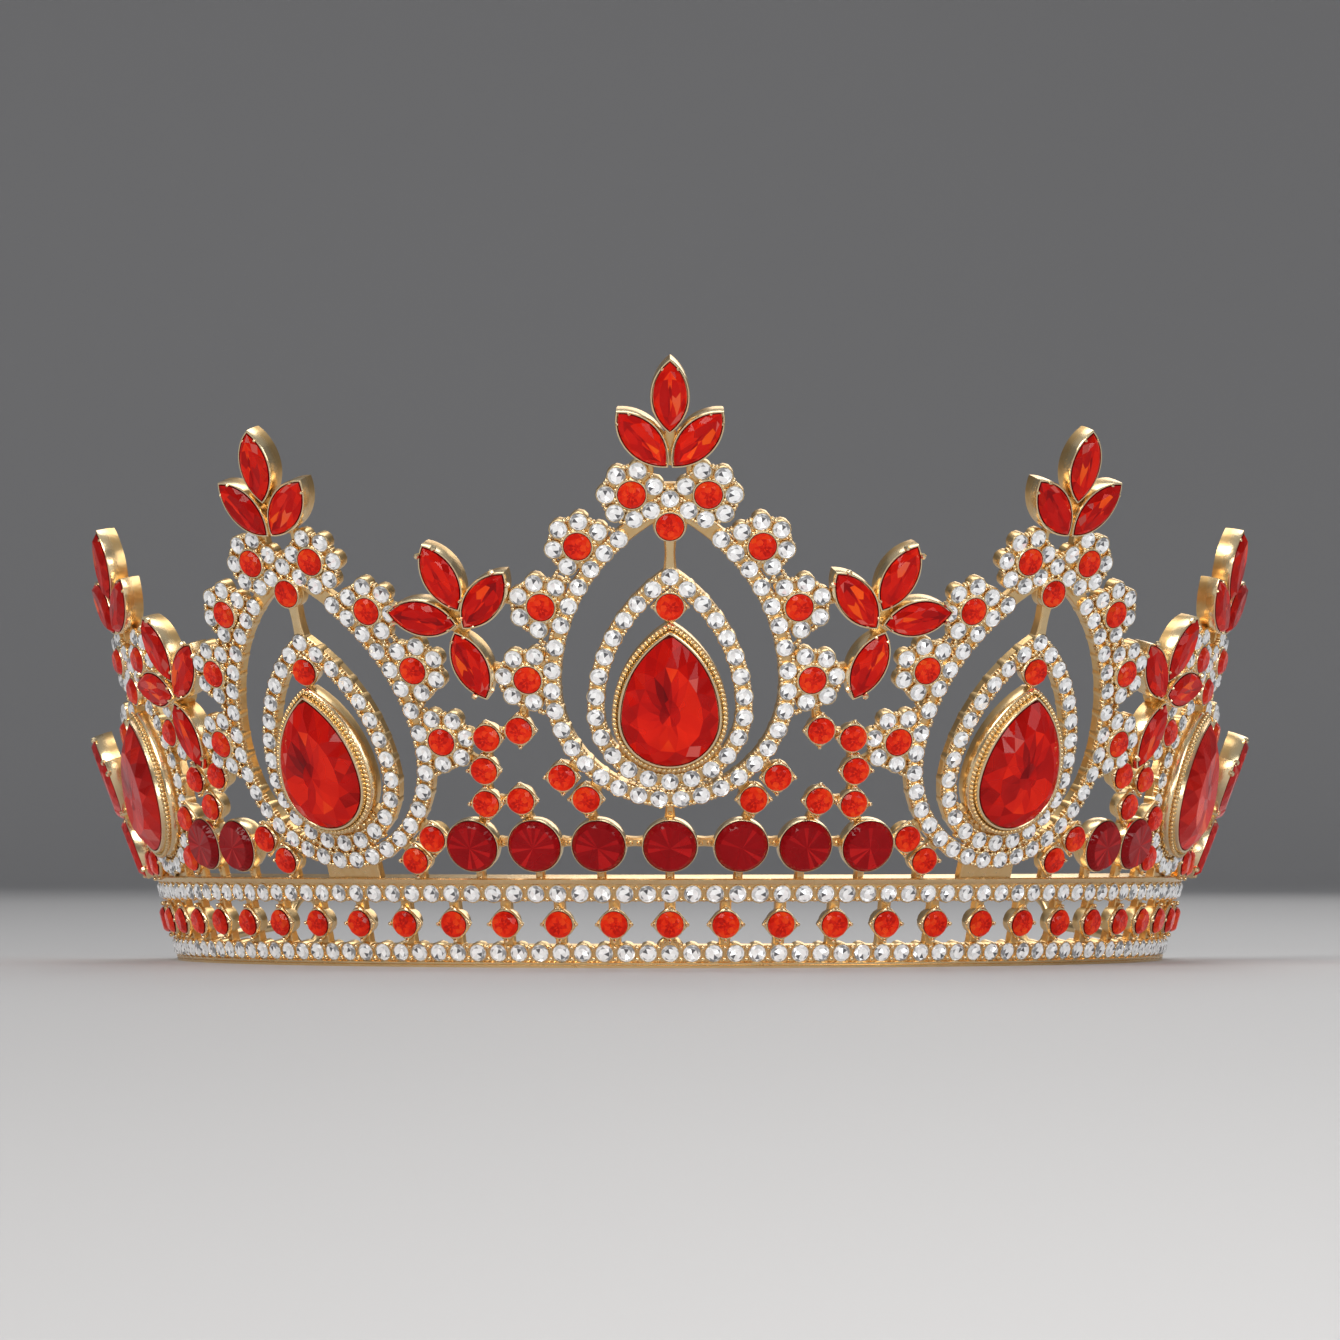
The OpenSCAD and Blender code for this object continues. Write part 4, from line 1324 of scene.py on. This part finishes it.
def gold_links(name, side):
    """All the metal between the peaks on one side, and the middle's on the right one."""
    heap = Heap()
    for (start, start_in), (end, end_in) in right_bars():
        add_bar(heap, mirrored(start, side), start_in, mirrored(end, side), end_in)
    near = [q for q in rounds if q[0] * side > 0 or (q[0] == 0 and side > 0)]
    for q in near:
        add_bar(heap, q, in_round, below(q), 0)
    if side > 0:
        above = peaks["centre"]
        foot = (0.0, above["frame_y"] - above["frame"][0], front_lean)
        add_bar(heap, rounds[middle_round], in_round, foot, 0)
    for flower in petal_flowers:
        for spot in petal_spots(flower, side):
            add_leaf(heap, spot, petal_prongs)
        spot = place(*mirrored(flower, side))
        heap.put(turned([(2.0, back_w), (2.0, -0.35), (1.8, -0.2)], 20), spot)
        heap.put(ball(0.55, 0, 0, 0.1), spot)
    body = new_object("body", heap.mesh("body", 35, cast_gold))
    small = [place(*mirrored(q, side)) for q in chain]
    parts = [body, set_pattern("chain", small, free_setting, cast_gold),
             set_pattern("large", [place(*q) for q in near], round_cup, cast_gold)]
    return join(name, parts), set_pattern("chain_reds_" + name, small, small_pattern, small_red,
                                          spin=any_way, seed=10)


links_left, chain_left = gold_links("gold_links_left", -1)
links_right, chain_right = gold_links("gold_links_right", 1)
print("links", len(links_left.data.polygons), len(links_right.data.polygons), "faces")

# %% [markdown]
# The large cut stones.
# The pears, leaves and large rounds are each cut from their own outline with their own seed, so no
# two show the same pattern of light and dark.

# %% Cut and place the large stones
def placed_stones(name, stones, spots, finish, seed):
    """Stones at places, as one piece, each with a spark of its own."""
    sparks = np.random.default_rng(seed).random(len(spots))
    mesh = stone_mesh(name, [set_stone(s, spot) for s, spot in zip(stones, spots)], sparks)
    mesh.materials.append(finish)
    return new_object(name, mesh)


def leaf_stone_cut(seed):
    return cut_stone(leaf_outline(leaf_l, leaf_w, 0, 20), (0.1, 1.35, 2.1),
                     ((0.82, 0.9), (0.64, 0.8), (0.34, 0.66), (0.14, 0.4)), seed, 0.2, leaf_shade, 7)


cut_pieces = {}
for i, (name, peak) in enumerate(peaks.items()):
    pear = cut_stone(pear_outline(pear_a, pear_rho, 0, 32), (0.1, 2.15, 3.85), (0.84, 0.68, 0.44, 0.22),
                     30 + i, 0.2, pear_shade, 8)
    node = "pear_stone_" + name
    spot = sheet_place(peak, 0, peak["pear_y"])
    cut_pieces[node] = placed_stones(node.replace("pear", "cut_pear"), [pear], [spot], large_red, i)
    for j, (leaf_name, spot) in enumerate(leaf_spots(peak).items()):
        node = f"leaf_stone_{name}_{leaf_name}"
        cut_pieces[node] = placed_stones(node.replace("leaf_stone", "cut_leaf"),
                                         [leaf_stone_cut(40 + 3 * i + j)], [spot], large_red, 60 + 3 * i + j)
for i, q in enumerate(rounds):
    stone = cut_stone(round_outline(round_r, 56), (0.1, 1.1, 1.95), (0.92, 0.84), 80 + i, 0.1, ruby_shade)
    node = f"round_stone_{i + 1}"
    cut_pieces[node] = placed_stones(f"cut_round_{i + 1}", [stone], [place(*q)], ruby, 90 + i)
for i in range(6):
    flower, side = petal_flowers[i % 3], -1 if i < 3 else 1
    spots = petal_spots(flower, side)
    stones = [leaf_stone_cut(100 + 4 * i + j) for j in range(4)]
    cut_pieces[f"petal_stones_{i + 1}"] = placed_stones(f"cut_petals_{i + 1}", stones, spots,
                                                        large_red, 130 + i)
print("large cut stones", len(cut_pieces), "pieces")

# %% [markdown]
# Tie the pieces to the crown.
# Every piece rides the crown's one body and stands for the solid it draws over. The two end wires
# keep their own solids, which are already round and smooth.

declared = [(piece, node, "ruby" if node.startswith("round") else "large_red")
            for node, piece in cut_pieces.items()]
for name, (gold, clears, small) in built.items():
    declared += [(gold, "crown_frame", "gold"), (small, "small_stones_" + name, "small_red"),
                 (clears, None, None)]
declared += [(gold_band, "crown_frame", "gold"), (links_left, "crown_frame", "gold"),
             (links_right, "crown_frame", "gold"), (red_band, "band_stones", "small_red"),
             (chain_left, "chain_stones_left", "small_red"),
             (chain_right, "chain_stones_right", "small_red"), (clear_band, None, None)]
for piece, node, material_slot in declared:
    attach(piece, "root")
    if node:
        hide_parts(node)
for side in ("left", "right"):
    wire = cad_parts["wire_" + side]
    wire.data.materials.clear()
    wire.data.materials.append(wire_gold)
print("pieces declared", len(declared))

# %% [markdown]
# Table, light and camera.
# A plain pale surface sweeps up all round, far behind any camera. Large soft lamps in front and
# above give the gold broad highlights, a long one low in front lights the faces of the stones, and
# one behind lights the inside. The camera is a long lens on the crown's middle line, low over the
# table.

# %% Lay the table
def stage_material(name, colour):
    material, recipe, surface = new_material(name)
    darker = tuple(c * 0.97 for c in colour)
    recipe.feed(surface, {"Roughness": 0.6, "Base Color": ramp(
        recipe, noise(recipe, 3.0, 0.0), [(0.3, darker), (0.7, colour)])})
    return material


floor_r, curve_r, wall_top, sides = 1.6, 0.6, 1.7, 64
sweep = [(0.3, 0.0), (floor_r, 0.0)]
sweep += [(floor_r + curve_r * math.sin(a), curve_r - curve_r * math.cos(a))
          for a in np.linspace(0.15, math.pi / 2, 10)]
points, faces = stack([circle(r, z, sides) for r, z in [*sweep, (floor_r + curve_r, wall_top)]])
floor_mesh = bpy.data.meshes.new("table")
floor_mesh.from_pydata(points.tolist(), [], [face[::-1] for face in faces[:-1]])
floor_mesh.shade_smooth()
floor_mesh.materials.append(stage_material("pale_table", (0.5, 0.5, 0.51)))
table = new_object("table", floor_mesh)
print("table", len(floor_mesh.polygons), "faces")

# %% Hang the lamps
crown_middle = np.array((0.0, -0.05, 0.04))
lamps = [("key", (-0.45, -0.75, 0.75), (0.6, 0.4), 5.5, (1.0, 0.96, 0.9)),
         ("fill", (0.7, -0.7, 0.35), (0.4, 0.6), 2.4, (0.94, 0.97, 1.0)),
         ("low_front", (0.12, -1.0, 0.2), (0.5, 0.1), 1.2, (1.0, 0.98, 0.95)),
         ("top", (0.0, 0.1, 0.9), (0.8, 0.4), 2.2, (1.0, 1.0, 1.0)),
         ("back", (0.3, 0.9, 0.6), (0.8, 0.5), 2.4, (1.0, 0.98, 0.95))]
for name, at, size, power, tint in lamps:
    lamp = bpy.data.lights.new(name, "AREA")
    lamp.shape, lamp.size, lamp.size_y, lamp.energy, lamp.color = "RECTANGLE", *size, power, tint
    holder = new_object(name, lamp)
    holder.location, holder.visible_camera = at, False
    aim = crown_middle - at
    tilt = math.acos(-aim[2] / np.linalg.norm(aim))
    holder.rotation_euler = (tilt, 0, math.atan2(aim[0], -aim[1]) + math.pi)
print("lamps", [name for name, *_ in lamps])

# %% Light the studio
world = bpy.data.worlds.new("studio")
bpy.context.scene.world = world
world.use_nodes = True
sky = Recipe(world.node_tree)
sky_up = sky.add("ShaderNodeSeparateXYZ", {"Vector": sky.add("ShaderNodeTexCoord", output="Generated")}, "Z")
sky_share = sky.add("ShaderNodeMapRange", {"Value": sky_up, "From Min": -1.0})
sky_stops = [(0.0, (0.1, 0.1, 0.11)), (0.5, (0.22, 0.22, 0.23)), (1.0, (0.8, 0.81, 0.83))]
sky.feed(sky.nodes["Background"], {"Color": ramp(sky, sky_share, sky_stops), "Strength": 0.42})
print("studio light has", len(sky.nodes), "nodes")

# %% Place the camera
camera_back, camera_up, aim_back, aim_up = 1.05, 0.018, 0.09, 0.04
camera_data = bpy.data.cameras.new("camera")
camera_data.lens, camera_data.sensor_width = 193.8, 36.0
camera = new_object("camera", camera_data)
camera.location = (0.0, -camera_back, camera_up)
camera.rotation_euler = (math.radians(90) + math.atan2(aim_up - camera_up, camera_back - aim_back), 0, 0)
bpy.context.scene.camera = camera
bpy.context.scene.view_settings.view_transform = "Standard"
print("camera at", [round(v, 3) for v in camera.location])

# %% [markdown]
